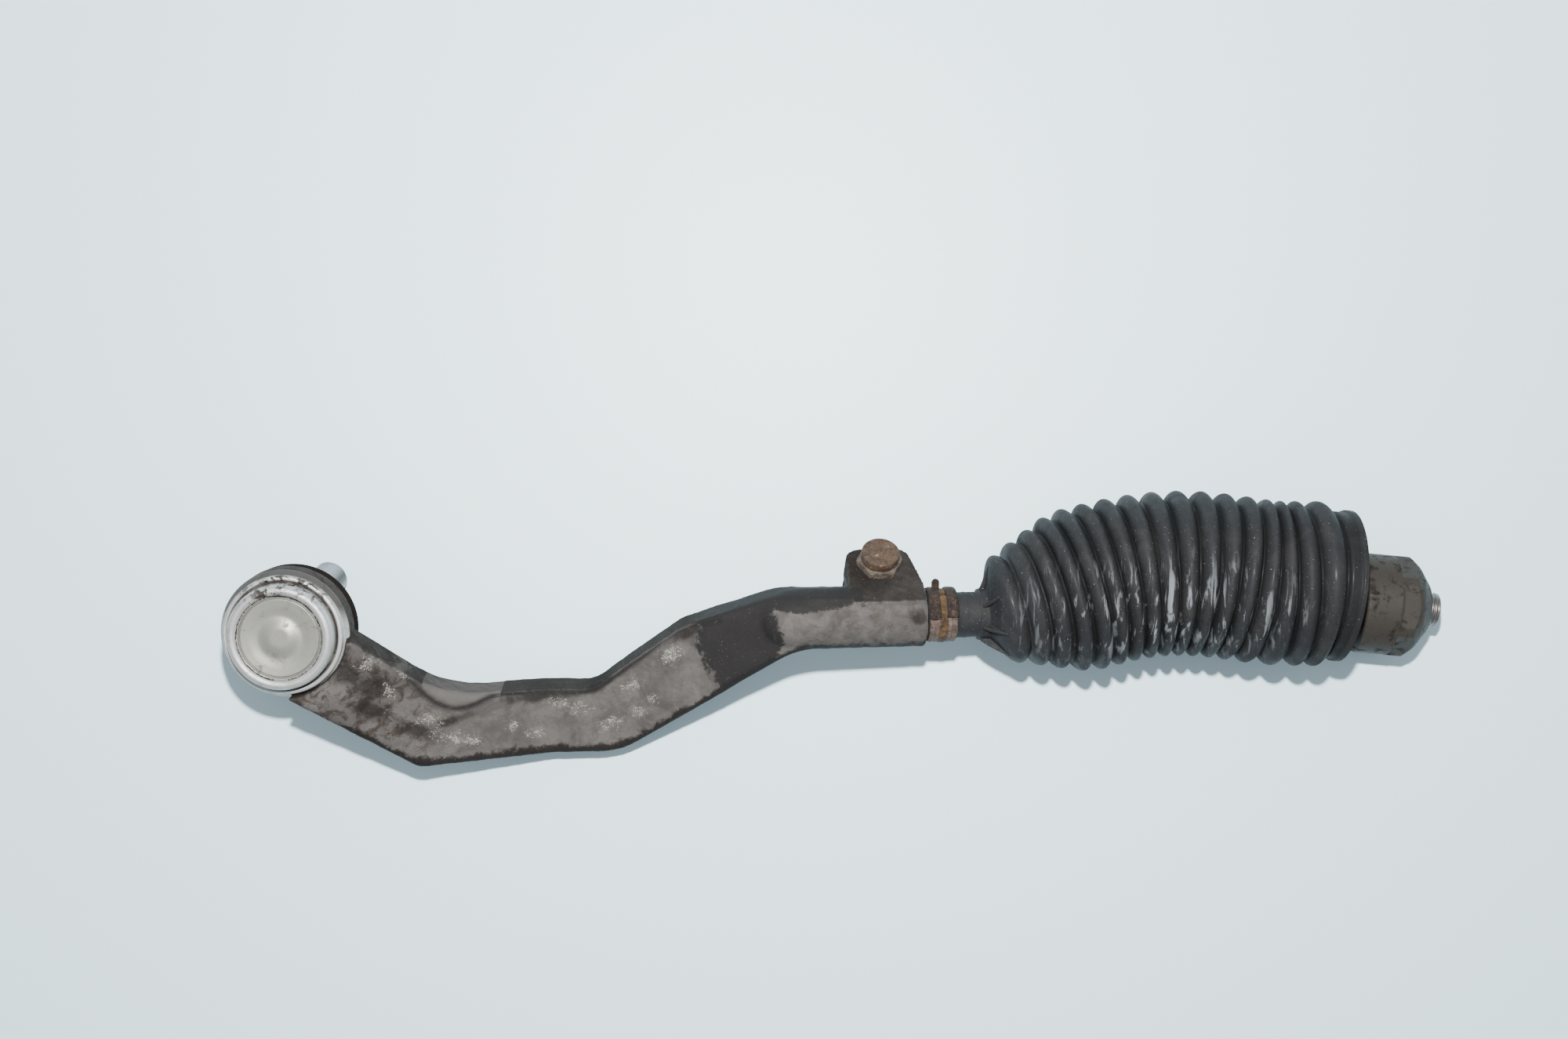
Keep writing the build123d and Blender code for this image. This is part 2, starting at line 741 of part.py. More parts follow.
with BuildPart() as bellows:
    for distance, radius in bellows_profile:
        with BuildSketch(bellows_ring(distance)):
            Circle(radius)
    loft(ruled=True)
    for distance, radius in bellows_profile[:-3]:
        with BuildSketch(bellows_ring(distance)):
            Circle(radius - bellows_wall)
    with BuildSketch(bellows_ring(collar_end + 0.5)):
        Circle(mouth_radius - bellows_wall)
    loft(ruled=True, mode=Mode.SUBTRACT)
    with BuildSketch(rod_plane.offset(cuff_end)):
        Circle(cuff_radius)
    extrude(amount=cuff_start - cuff_end)
    with BuildSketch(rod_plane.offset(cuff_end - 3)):
        Circle(rod_radius + bore_clearance)
    extrude(amount=cuff_start - cuff_end + 4, mode=Mode.SUBTRACT)
save(bellows.part, "bellows")

# Spring clip: a band with a tongue between two fingers, and a tang to open it
clip_plane = rod_plane.offset(cuff_start - clip_start - clip_width)
clip_inner = cuff_radius + bore_clearance
with BuildPart() as bellows_clip:
    with BuildSketch(clip_plane):
        Circle(clip_inner + clip_thickness)
        Circle(clip_inner, mode=Mode.SUBTRACT)
    extrude(amount=clip_width)
    for side in (-1, 1):
        middle = clip_width / 2 + side * clip_gap_offset
        with BuildSketch(clip_plane.offset(middle - clip_gap / 2)):
            with BuildLine() as finger_slot:
                CenterArc((0, 0), clip_inner - 1, -30, clip_finger_arc)
                CenterArc((0, 0), clip_inner + 3, -30, clip_finger_arc)
                Line(finger_slot.edges()[0] @ 0, finger_slot.edges()[1] @ 0)
                Line(finger_slot.edges()[0] @ 1, finger_slot.edges()[1] @ 1)
            make_face()
        extrude(amount=clip_gap, mode=Mode.SUBTRACT)
    tang_plane = Plane(
        origin=clip_plane.origin + rod_direction * (clip_width / 2),
        x_dir=rod_direction,
        z_dir=rod_plane.y_dir * -1 if rod_plane.y_dir.Z < 0 else rod_plane.y_dir,
    )
    with BuildSketch(tang_plane.offset(clip_inner + clip_thickness / 2)):
        Rectangle(clip_tang_width, clip_tang_thickness)
    extrude(amount=clip_tang_height)
save(bellows_clip.part, "bellows_clip")
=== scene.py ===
"""A worn cranked tie rod on a pale table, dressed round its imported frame."""

import json
import logging
from dataclasses import dataclass, field
from enum import Enum
from typing import Optional, Sequence, Union

import bpy
import numpy as np
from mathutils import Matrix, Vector

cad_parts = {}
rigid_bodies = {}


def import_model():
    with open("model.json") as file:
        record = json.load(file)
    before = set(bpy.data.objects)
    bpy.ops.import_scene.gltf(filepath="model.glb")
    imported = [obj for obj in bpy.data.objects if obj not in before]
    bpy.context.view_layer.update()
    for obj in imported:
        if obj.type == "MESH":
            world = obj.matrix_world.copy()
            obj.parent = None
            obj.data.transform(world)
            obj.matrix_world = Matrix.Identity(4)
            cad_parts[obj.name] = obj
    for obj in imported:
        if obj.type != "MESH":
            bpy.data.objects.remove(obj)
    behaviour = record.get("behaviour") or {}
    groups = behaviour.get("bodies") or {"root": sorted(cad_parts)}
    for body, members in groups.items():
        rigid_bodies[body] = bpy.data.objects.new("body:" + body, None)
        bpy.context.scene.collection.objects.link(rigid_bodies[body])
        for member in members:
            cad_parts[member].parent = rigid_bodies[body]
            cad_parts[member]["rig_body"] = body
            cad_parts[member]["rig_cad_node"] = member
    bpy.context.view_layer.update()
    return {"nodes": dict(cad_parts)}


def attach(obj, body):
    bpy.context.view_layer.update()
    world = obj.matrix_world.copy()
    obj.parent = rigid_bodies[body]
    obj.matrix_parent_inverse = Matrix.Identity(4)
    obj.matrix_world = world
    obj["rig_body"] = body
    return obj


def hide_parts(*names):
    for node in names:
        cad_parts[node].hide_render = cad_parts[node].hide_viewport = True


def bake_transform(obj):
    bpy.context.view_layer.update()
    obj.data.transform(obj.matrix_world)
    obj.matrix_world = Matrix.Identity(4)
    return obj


LOG = logging.getLogger("tie_rod")
MM = 0.001
UP = np.array([0.0, 0.0, 1.0])
Colour = tuple[float, float, float]
Point = tuple[float, float, float]
Pair = tuple[float, float]
Grid = np.ndarray
Node = bpy.types.Node
Socket = bpy.types.NodeSocket
Piece = bpy.types.Object
Value = Union[float, Sequence[float], Socket]


class Body(Enum):
    """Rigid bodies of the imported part."""

    ARM = "arm"
    OUTER_RACE = "outer_race"
    BOOT_LIP = "boot_lip"
    STUD = "stud"
    INNER_HOUSING = "inner_housing"


class Seam(Enum):
    """How a grid of points closes on itself."""

    OPEN = "open"
    ROUND = "round"


def srgb(*display: float) -> Colour:
    """Turn display values into linear light.

    Args:
        display: Red, green and blue, from 0 to 255.

    Returns:
        The linear colour.
    """
    shares = np.array(display) / 255.0
    linear = np.where(shares <= 0.04045, shares / 12.92, ((shares + 0.055) / 1.055) ** 2.4)
    return tuple(float(value) for value in linear)


def unit(vectors: Sequence[float]) -> Grid:
    """Scale vectors to length one along their last axis."""
    values = np.array(vectors, float)
    return values / np.linalg.norm(values, axis=-1, keepdims=True)


def smoothstep(values: Grid, low: float, high: float) -> Grid:
    """Rise smoothly from 0 at low to 1 at high."""
    share = np.clip((values - low) / (high - low), 0.0, 1.0)
    return share * share * (3.0 - 2.0 * share)


def window(values: Grid, rise: Pair, fall: Pair) -> Grid:
    """Rise smoothly from 0 to 1 over one stretch, and fall back over another."""
    return smoothstep(values, *rise) * (1.0 - smoothstep(values, *fall))


def turns(count: int) -> Grid:
    """Angles of a full circle in even steps, in radians."""
    return np.linspace(0, 2 * np.pi, count, endpoint=False)


def crossed(rows: Grid, columns: Grid) -> list[Grid]:
    """Spread two lists of values over the rows and the columns of a grid."""
    return np.meshgrid(rows, columns, indexing="ij")


def soft_noise(points: Grid, size: float, seed: int) -> Grid:
    """Give a smooth unevenness as a sum of plane waves in seeded directions.

    Args:
        points: Array whose last axis holds three coordinates, in millimetres.
        size: Rough length of one swell, in millimetres.
        seed: Choice of directions and phases.

    Returns:
        Values between about -1 and 1.
    """
    count = 9
    dice = np.random.default_rng(seed)
    waves = unit(dice.normal(size=(count, 3)))
    rates = dice.uniform(0.6, 1.6, count) * 2 * np.pi / size
    phases = dice.uniform(0, 2 * np.pi, count)
    return np.sin(points @ (waves * rates[:, None]).T + phases).sum(-1) / (count / 2)


def line_gap(across: Grid, along: Grid, line: Sequence[Pair]) -> Grid:
    """Give the distance from points of a plane to the nearest stretch of a line.

    Args:
        across: First coordinate of the points.
        along: Second coordinate of the points.
        line: Corners of the line in order.

    Returns:
        The distances.
    """
    corners = np.array(line, float)
    gaps = []
    for start, end in zip(corners[:-1], corners[1:]):
        run = end - start
        x, y = across - start[0], along - start[1]
        share = np.clip((x * run[0] + y * run[1]) / run.dot(run), 0.0, 1.0)
        gaps.append(np.hypot(x - share * run[0], y - share * run[1]))
    return np.min(gaps, axis=0)


def oval(across: Grid, along: Grid, spots: Sequence[tuple[float, ...]]) -> Grid:
    """Give the closeness to some ovals: 1 at a middle, 0 at its edge, at least -1 outside.

    Args:
        across: First coordinate of the points.
        along: Second coordinate of the points.
        spots: Middle, half-widths and turn in degrees of each oval.

    Returns:
        The closeness to the nearest oval.
    """
    near = []
    for x, y, long_half, short_half, turn in spots:
        cos, sin = np.cos(np.radians(turn)), np.sin(np.radians(turn))
        first = ((across - x) * cos + (along - y) * sin) / long_half
        second = ((along - y) * cos - (across - x) * sin) / short_half
        near.append(1.0 - np.hypot(first, second))
    return np.clip(np.max(near, axis=0), -1.0, 1.0)


@dataclass(frozen=True)
class Axis:
    """A right-handed frame of a turned piece, in millimetres.

    Args:
        origin: Point on the axis.
        along: Unit vector of the axis.
        side: Unit vector square to the axis.
    """

    origin: Grid
    along: Grid
    side: Grid

    @property
    def third(self) -> Grid:
        """Unit vector that completes the frame."""
        return np.cross(self.along, self.side)

    def ring(self, station: Grid, radius: Grid, angle: Grid) -> Grid:
        """Place points by distance along the axis, distance from it and turn in radians."""
        across = np.cos(angle)[..., None] * self.side + np.sin(angle)[..., None] * self.third
        return self.origin + station[..., None] * self.along + radius[..., None] * across

    def local(self, points: Grid) -> tuple[Grid, Grid, Grid]:
        """Measure points against the axis.

        Args:
            points: The points.

        Returns:
            Distance along the axis, distance from it and the unit vector away from it.
        """
        rest = points - self.origin
        outward = rest - (rest @ self.along)[:, None] * self.along
        radius = np.linalg.norm(outward, axis=1)
        return rest @ self.along, radius, outward / radius[:, None]


@dataclass(frozen=True)
class Layout:
    """Places and directions of the real pieces, in millimetres and degrees."""

    inner_ball: Point = (218.34, 9.36, 20.1)
    ball_span: Point = (-433.9, -9.2, 20.9)
    rod_pitch: float = 6.0
    rod_yaw: float = 1.1
    housing_heading: float = -5.4
    head_lean: float = 8.0
    stud_tilt: float = 23.0
    stud_heading: float = 59.8
    clamp_angle: float = 46.0
    cuff_start: float = 185.6
    cuff_end: float = 163.9
    clamp_station: float = 203.2
    bolt_offset: float = 16.3
    ear_half: float = 12.6
    arm_roll: float = 16.0

    @property
    def rod(self) -> Axis:
        """Frame of the rod, from the inner ball outwards to the arm."""
        pitch, yaw, angle = np.radians((self.rod_pitch, self.rod_yaw, self.clamp_angle))
        along = np.array([-np.cos(pitch) * np.cos(yaw), -np.cos(pitch) * np.sin(yaw), np.sin(pitch)])
        raw = np.array([0.0, np.cos(angle), np.sin(angle)])
        return Axis(np.array(self.inner_ball), along, unit(raw - along * raw.dot(along)))

    @property
    def bolt(self) -> Axis:
        """Frame of the pinch bolt, with its origin on the seat of its head."""
        rod = self.rod
        ear = np.cross(rod.side, -rod.along)
        origin = rod.origin + rod.along * self.clamp_station + ear * self.bolt_offset
        return Axis(origin + rod.side * self.ear_half, rod.side, -rod.along)

    @property
    def housing(self) -> Axis:
        """Frame of the inner joint's housing, towards its stub."""
        heading = np.radians(self.housing_heading)
        return Axis(np.array(self.inner_ball), np.array([np.cos(heading), np.sin(heading), 0.0]), UP)

    @property
    def head(self) -> Axis:
        """Frame of the outer ball housing, upwards."""
        lean = np.radians(self.head_lean)
        origin = np.array(self.inner_ball) + np.array(self.ball_span)
        return Axis(origin, np.array([0.0, -np.sin(lean), np.cos(lean)]), np.array([1.0, 0.0, 0.0]))

    @property
    def lean(self) -> Grid:
        """Direction in the plane of the head to which the stud leans."""
        heading = np.radians(self.stud_heading)
        return self.head.side * np.cos(heading) + self.head.third * np.sin(heading)

    @property
    def stud(self) -> Axis:
        """Frame of the ball stud, towards its free end."""
        head, tilt = self.head, np.radians(self.stud_tilt)
        along = self.lean * np.sin(tilt) - head.along * np.cos(tilt)
        return Axis(head.origin, along, np.cross(self.lean, head.along))

    def arm_plane(self, points: Grid) -> tuple[Grid, Grid]:
        """Measure points in the arm's own plane, which rolls about the X axis.

        Args:
            points: The points.

        Returns:
            Reach and side of each point.
        """
        roll = np.radians(self.arm_roll)
        rest = points - self.head.origin
        return rest[..., 0], rest[..., 1] * np.cos(roll) + rest[..., 2] * np.sin(roll)


LAYOUT = Layout()


class Graph:
    """Short calls that add nodes to one node tree."""

    def __init__(self, tree: bpy.types.NodeTree) -> None:
        """Keep the tree that the calls add to."""
        self.tree = tree

    def add(self, kind: str, **settings: object) -> Node:
        """Add a node and set its plain properties.

        Args:
            kind: Blender's name of the node type.
            settings: Properties of the node.

        Returns:
            The node.
        """
        node = self.tree.nodes.new(kind)
        for name, value in settings.items():
            setattr(node, name, value)
        return node

    def feed(self, node: Node, **values: Value) -> Node:
        """Link a node's sockets, or set their own values; an underscore stands for a space.

        Args:
            node: The node.
            values: Value of each socket, by its name.

        Returns:
            The same node.
        """
        for name, value in values.items():
            self.put(node.inputs[name.replace("_", " ")], value)
        return node

    def put(self, socket: Socket, value: Value) -> None:
        """Link a socket to another one, or set its own value.

        Args:
            socket: The socket.
            value: A socket to link, a number, a colour or a vector.
        """
        if isinstance(value, bpy.types.NodeSocket):
            self.tree.links.new(value, socket)
        elif isinstance(value, (int, float)):
            socket.default_value = value
        elif len(value) == 3 and socket.type == "RGBA":
            socket.default_value = (*value, 1.0)
        else:
            socket.default_value = tuple(value)

    def where(self) -> Socket:
        """Object coordinates, in metres."""
        return self.add("ShaderNodeTexCoord").outputs["Object"]

    def facing(self, axis: str) -> Socket:
        """Give one coordinate of the surface normal.

        Args:
            axis: X, Y or Z of the piece's own space.

        Returns:
            The coordinate.
        """
        split = self.add("ShaderNodeSeparateXYZ")
        self.put(split.inputs[0], self.add("ShaderNodeTexCoord").outputs["Normal"])
        return split.outputs[axis]

    def mark(self, name: str) -> Socket:
        """Value that a piece's mesh carries under a name."""
        return self.add("ShaderNodeAttribute", attribute_name=name).outputs["Fac"]

    def math(self, operation: str, *operands: Value) -> Socket:
        """Work out one sum.

        Args:
            operation: Blender's name of the sum.
            operands: What it is worked out from, in order.

        Returns:
            The result.
        """
        node = self.add("ShaderNodeMath", operation=operation)
        for socket, operand in zip(node.inputs, operands):
            self.put(socket, operand)
        return node.outputs[0]

    def times(self, first: Value, second: Value) -> Socket:
        """Multiply two values."""
        return self.math("MULTIPLY", first, second)

    def plus(self, first: Value, second: Value) -> Socket:
        """Add two values."""
        return self.math("ADD", first, second)

    def span(self, value: Value, low: float, high: float, start: float = 0.0, end: float = 1.0) -> Socket:
        """Carry a value smoothly from one range to another.

        Args:
            value: What is carried.
            low: Value that gives start.
            high: Value that gives end.
            start: Result at and under low.
            end: Result at and over high.

        Returns:
            The result.
        """
        node = self.add("ShaderNodeMapRange", interpolation_type="SMOOTHSTEP")
        self.feed(node, Value=value, From_Min=low, From_Max=high, To_Min=start, To_Max=end)
        return node.outputs["Result"]

    def edge(self, name: str, wobble: Socket, strength: float, low: float, high: float) -> Socket:
        """Mask where a mark of the mesh, moved by a wobble, rises from low to high."""
        return self.span(self.plus(self.mark(name), self.times(wobble, strength)), low, high)

    def mix(self, share: Value, first: Value, second: Value) -> Socket:
        """Mix two colours.

        Args:
            share: Share of the second colour.
            first: First colour.
            second: Second colour.

        Returns:
            The colour.
        """
        node = self.add("ShaderNodeMix", data_type="RGBA", blend_type="MIX")
        for place, value in ((0, share), (6, first), (7, second)):
            self.put(node.inputs[place], value)
        return node.outputs[2]

    def tint(self, base: Value, colour: Value, mask: Socket, strength: float) -> Socket:
        """Lay a colour over a base where a mask is, at some strength."""
        return self.mix(self.times(mask, strength), base, colour)

    def noise(self, size: float, detail: float, rough: float, warp: float = 0.0,
              at: Optional[Socket] = None) -> Socket:
        """Add cloudy noise.

        Args:
            size: Rough size of one cloud, in millimetres.
            detail: Number of finer layers.
            rough: Strength of the finer layers.
            warp: Strength of the noise's own distortion.
            at: Coordinates, or none for the piece's own.

        Returns:
            A value around one half.
        """
        node = self.add("ShaderNodeTexNoise")
        self.feed(node, Vector=at or self.where(), Scale=1.0 / (size * MM))
        self.feed(node, Detail=detail, Roughness=rough, Distortion=warp)
        return node.outputs["Fac"]

    def stretched(self, stretch: Point, turn: Point) -> Socket:
        """Turn object coordinates and then scale them on each axis.

        Args:
            stretch: Scale on each axis.
            turn: Turn about each axis, in degrees.

        Returns:
            The coordinates.
        """
        node = self.add("ShaderNodeMapping", vector_type="POINT")
        self.feed(node, Vector=self.where(), Rotation=np.radians(turn), Scale=stretch)
        return node.outputs["Vector"]

    def spot(self, centre: Point, size: Point, soft: float, ragged: float) -> Socket:
        """Mask an oval patch with a ragged edge.

        Args:
            centre: Middle of the patch, in millimetres.
            size: Half-widths along the axes, in millimetres.
            soft: Width of the edge as a share of the patch.
            ragged: How far the noise moves the edge.

        Returns:
            A mask, 1 inside.
        """
        place = self.add("ShaderNodeMapping", vector_type="TEXTURE")
        self.feed(place, Vector=self.where(), Location=np.array(centre) * MM, Scale=np.array(size) * MM)
        length = self.add("ShaderNodeVectorMath", operation="LENGTH")
        self.put(length.inputs[0], place.outputs["Vector"])
        cloud = self.noise(min(size[:2]) * 0.7, 4.0, 0.6)
        wobble = self.math("MULTIPLY_ADD", cloud, ragged, -ragged / 2)
        reach = self.plus(length.outputs["Value"], wobble)
        return self.span(reach, 1.0 - soft, 1.0 + soft * 0.4, 1.0, 0.0)

    def group(self, name: str, output: str, **values: Value) -> Socket:
        """Place a node group with its own values and give one of its outputs."""
        node = self.add("ShaderNodeGroup", node_tree=bpy.data.node_groups[name])
        return self.feed(node, **values).outputs[output]


class Effects:
    """Node groups that more than one finish uses."""

    @staticmethod
    def start(name: str, inputs: dict[str, float], outputs: Sequence[str]) -> tuple[Graph, Node, Node]:
        """Make an empty group with named sockets.

        Args:
            name: Name of the group.
            inputs: Default of each input, by its name.
            outputs: Names of the outputs.

        Returns:
            A graph of the group, its input node and its output node.
        """
        tree = bpy.data.node_groups.new(name, "ShaderNodeTree")
        for label, default in inputs.items():
            socket = tree.interface.new_socket(label, in_out="INPUT", socket_type="NodeSocketFloat")
            socket.default_value = default
        for label in outputs:
            tree.interface.new_socket(label, in_out="OUTPUT", socket_type="NodeSocketFloat")
        graph = Graph(tree)
        return graph, graph.add("NodeGroupInput"), graph.add("NodeGroupOutput")

    @classmethod
    def build(cls) -> None:
        """Make every shared group once."""
        cls.grain()
        cls.speckle()
        cls.rust()

    @classmethod
    def grain(cls) -> None:
        """Fine unevenness of a cast or moulded skin: three layers of noise added up."""
        graph, start, end = cls.start("grain", {"Size": 1.0}, ["Height", "Shade"])
        layers = []
        for size, share in ((0.5, 0.5), (1.6, 0.3), (6.0, 0.2)):
            layer = graph.noise(size, 3.0, 0.5)
            graph.feed(layer.node, Scale=graph.math("DIVIDE", 1.0 / (size * MM), start.outputs["Size"]))
            layers.append(graph.times(layer, share))
        height = graph.plus(graph.plus(layers[0], layers[1]), layers[2])
        graph.feed(end, Height=height, Shade=graph.span(height, 0.35, 0.65))

    @classmethod
    def speckle(cls) -> None:
        """Small pale grains that gather where the mask is strong."""
        graph, start, end = cls.start("speckle", {"Mask": 0.5}, ["Speckle"])
        mask = start.outputs["Mask"]
        grains = graph.plus(graph.noise(1.0 / 1.71, 2.0, 0.5), graph.times(mask, 0.16))
        graph.feed(end, Speckle=graph.times(graph.span(grains, 0.64, 0.68), graph.span(mask, 0.05, 0.3)))

    @classmethod
    def rust(cls) -> None:
        """Scaly rust: coarse flakes and fine pits."""
        graph, _, end = cls.start("rust", {}, ["Flakes", "Pits"])
        pits = graph.feed(graph.add("ShaderNodeTexVoronoi", feature="F1"), Vector=graph.where(), Scale=1100.0)
        flakes = graph.span(graph.noise(1.0 / 0.42, 6.0, 0.7), 0.38, 0.62)
        graph.feed(end, Flakes=flakes, Pits=graph.span(pits.outputs["Distance"], 0.15, 0.6))


class Finish:
    """A material that is made once, on first use."""

    name: str

    def paint(self, graph: Graph, shader: Node) -> None:
        """Fill the shader's sockets.

        Args:
            graph: Graph of the material.
            shader: Its shader.
        """
        raise NotImplementedError

    def material(self) -> bpy.types.Material:
        """Give the material, making it on first use.

        Returns:
            The material.
        """
        known = bpy.data.materials.get(self.name)
        if known:
            return known
        material = bpy.data.materials.new(self.name)
        material.use_nodes = True
        self.paint(Graph(material.node_tree), material.node_tree.nodes["Principled BSDF"])
        return material

    @staticmethod
    def lay(graph: Graph, shader: Node, colour: Value, rough: Value, metal: float, gloss: float,
            height: Socket, depth: float) -> None:
        """Give the shader its looks and a bump.

        Args:
            graph: Graph of the material.
            shader: Its shader.
            colour: Base colour.
            rough: Roughness.
            metal: Metallic share.
            gloss: Specular level.
            height: Height of the relief between 0 and 1.
            depth: Depth of the relief, in millimetres.
        """
        bump = graph.feed(graph.add("ShaderNodeBump"), Distance=depth * MM, Height=height)
        graph.feed(shader, Base_Color=colour, Roughness=rough, Metallic=metal, Specular_IOR_Level=gloss,
                   Normal=bump.outputs["Normal"])


@dataclass(frozen=True)
class ForgedSteel(Finish):
    """Bare forged steel under a dark skin, with oil, dust and pale corrosion, and with painted shade on its
    downward and far-facing sides and along its near edge.

    The skin's mesh carries its marks: lines, rim, oil, smudge, salt, facet and brown.
    """

    name: str = "forged_skin"
    light: Colour = srgb(83, 80, 77)
    middle: Colour = srgb(65, 62, 60)
    dark: Colour = srgb(25, 22, 20)
    oil: Colour = srgb(31, 30, 30)
    salt: Colour = srgb(138, 134, 127)
    brown: Colour = srgb(40, 33, 28)
    roughness: float = 0.74
    gloss: float = 0.05
    relief: float = 0.30

    def paint(self, graph: Graph, shader: Node) -> None:
        """Lay the steel, its painted shade, its oil, its dust and its corrosion over each other.

        Args:
            graph: Graph of the material.
            shader: Its shader.
        """
        grain = graph.group("grain", "Shade", Size=0.8)
        ragged = graph.plus(graph.noise(5.0, 7.0, 0.68, 0.5), -0.5)
        torn = graph.plus(graph.noise(3.2, 6.0, 0.72, 0.9), -0.5)
        mottle = graph.span(graph.noise(6.0, 7.0, 0.72, 0.7), 0.46, 0.60)
        steel = graph.mix(graph.span(graph.noise(13.0, 6.0, 0.66, 0.5), 0.36, 0.64), self.middle, self.light)
        steel = graph.tint(steel, self.middle, grain, 0.30)
        steel = graph.tint(steel, self.brown, graph.times(mottle, graph.mark("brown")), 0.8)
        smooth = graph.edge("facet", ragged, 0.8, 0.35, 0.6)
        steel = graph.tint(steel, self.light, smooth, 0.6)
        # Painted shade: faces that point down or sideways are darkened, and so are faces turned to +Y away
        # from the smooth facet.
        upward = graph.facing("Z")
        under = graph.span(upward, 0.05, 0.45, 1.0, 0.0)
        far = graph.times(graph.span(graph.facing("Y"), 0.35, 0.75), graph.math("SUBTRACT", 1.0, smooth))
        steel = graph.tint(steel, self.dark, graph.math("MAXIMUM", under, far), 0.8)
        # The smudge mark darkens real grime in its ovals, and it also paints shade on the upward strip before
        # the facet.
        steel = graph.tint(steel, self.dark, graph.edge("smudge", ragged, 1.5, -0.1, 0.75), 0.78)
        # Painted shade: the rim darkens a band along the near edge, which is also made glossier.
        rim = graph.edge("rim", ragged, 1.3, 0.35, 0.62)
        oil = graph.edge("oil", ragged, 1.1, -0.02, 0.16)
        lines = graph.times(graph.mark("lines"), graph.span(ragged, -0.28, 0.0, 0.55, 1.0))
        steel = graph.tint(steel, self.dark, rim, 0.9)
        steel = graph.tint(steel, self.oil, oil, 0.93)
        steel = graph.tint(steel, self.oil, lines, 0.95)
        bloom = graph.edge("salt", torn, 3.4, 0.1, 1.1)
        crystals = graph.group("speckle", "Speckle", Mask=bloom)
        top = graph.span(upward, 0.4, 0.8)
        colour = graph.tint(steel, self.salt, bloom, 0.13)
        colour = graph.tint(colour, self.salt, graph.times(crystals, top), 0.75)
        specks = graph.times(graph.span(graph.noise(0.5, 2.0, 0.5), 0.70, 0.76), top)
        colour = graph.tint(colour, self.salt, specks, 0.45)
        wet = graph.math("MULTIPLY_ADD", graph.math("MAXIMUM", rim, oil), -0.16, self.roughness)
        rough = graph.math("MULTIPLY_ADD", grain, 0.08, wet)
        pits = graph.plus(graph.group("grain", "Height", Size=0.8), graph.times(crystals, 0.25))
        self.lay(graph, shader, colour, rough, 0.0, self.gloss, pits, self.relief)


@dataclass(frozen=True)
class SatinSteel(Finish):
    """Turned or plated steel, dulled by handling.

    Args:
        name: Name of the material.
        colour: Colour of the bare metal.
        stain: Colour of its stains.
        shine: Roughness of the clean metal.
        stains: How much of it is stained.
        metal: Metallic share.
        relief: Depth of its grain, in millimetres.
        gloss: Specular level.
        dirt_at: Middle of a stretch with flakes of dirt, in millimetres, or none.
        dirt_size: Half-widths of that stretch, in millimetres.
        painted_shade: Axis along which its sides look, the value at which they take painted shade in the
            stain's colour, and the value at which they keep their own colour.
    """

    name: str
    colour: Colour
    stain: Colour
    shine: float
    stains: float
    metal: float = 0.9
    relief: float = 0.08
    gloss: float = 0.35
    dirt_at: Optional[Point] = None
    dirt_size: Point = (1.0, 1.0, 1.0)
    painted_shade: Optional[tuple[str, float, float]] = None

    def paint(self, graph: Graph, shader: Node) -> None:
        """Cloud the metal with stains, roughen it where they lie, and paint shade on the sides that face one
        way where asked.

        Args:
            graph: Graph of the material.
            shader: Its shader.
        """
        stained = graph.times(graph.span(graph.noise(4.5, 6.0, 0.65, 0.5), 0.5, 0.7), self.stains)
        colour = graph.mix(stained, self.colour, self.stain)
        colour = graph.tint(colour, self.stain, graph.group("grain", "Shade", Size=0.6), 0.15)
        # Painted shade: sides turned one way along the axis take the stain's colour, and sides turned the
        # other way keep their own.
        if self.painted_shade:
            axis, shaded_at, bare = self.painted_shade
            ends = (0.9, 0.0) if shaded_at < bare else (0.0, 0.9)
            stripe = graph.span(graph.facing(axis), min(shaded_at, bare), max(shaded_at, bare), *ends)
            colour = graph.mix(stripe, colour, self.stain)
        if self.dirt_at:
            flakes = graph.span(graph.noise(3.4, 6.0, 0.74, 0.8), 0.48, 0.56)
            zone = graph.spot(self.dirt_at, self.dirt_size, 0.6, 0.4)
            colour = graph.mix(graph.times(flakes, zone), colour, self.stain)
        rough = graph.math("MULTIPLY_ADD", stained, 0.5, self.shine)
        grain = graph.group("grain", "Height", Size=0.6)
        self.lay(graph, shader, colour, rough, self.metal, self.gloss, grain, self.relief)


@dataclass(frozen=True)
class RustedSteel(Finish):
    """Scaly rust with pale and orange spots.

    Args:
        name: Name of the material.
        base: Main colour.
        bright: Colour of fresh rust.
        pale: Colour of pale crust.
        dark: Colour of pits.
        amount: Share of bright rust.
        roughness: Roughness all over.
        metal: Metallic share.
        gloss: Specular level.
        relief: Depth of the scales, in millimetres.
    """

    name: str
    base: Colour
    bright: Colour
    pale: Colour
    dark: Colour
    amount: float
    roughness: float = 0.75
    metal: float = 0.1
    gloss: float = 0.35
    relief: float = 0.25

    def paint(self, graph: Graph, shader: Node) -> None:
        """Lay fresh rust, crust and pits over the main colour.

        Args:
            graph: Graph of the material.
            shader: Its shader.
        """
        flakes, pits = graph.group("rust", "Flakes"), graph.group("rust", "Pits")
        colour = graph.tint(self.base, self.bright, flakes, self.amount)
        colour = graph.tint(colour, self.dark, graph.span(graph.noise(3.5, 4.0, 0.6), 0.42, 0.62), 0.6)
        colour = graph.tint(colour, self.pale, graph.span(graph.noise(2.0, 5.0, 0.7), 0.60, 0.70), 0.8)
        colour = graph.tint(colour, self.dark, graph.math("SUBTRACT", 1.0, pits), 0.35)
        height = graph.plus(flakes, graph.times(pits, 0.5))
        self.lay(graph, shader, colour, self.roughness, self.metal, self.gloss, height, self.relief)


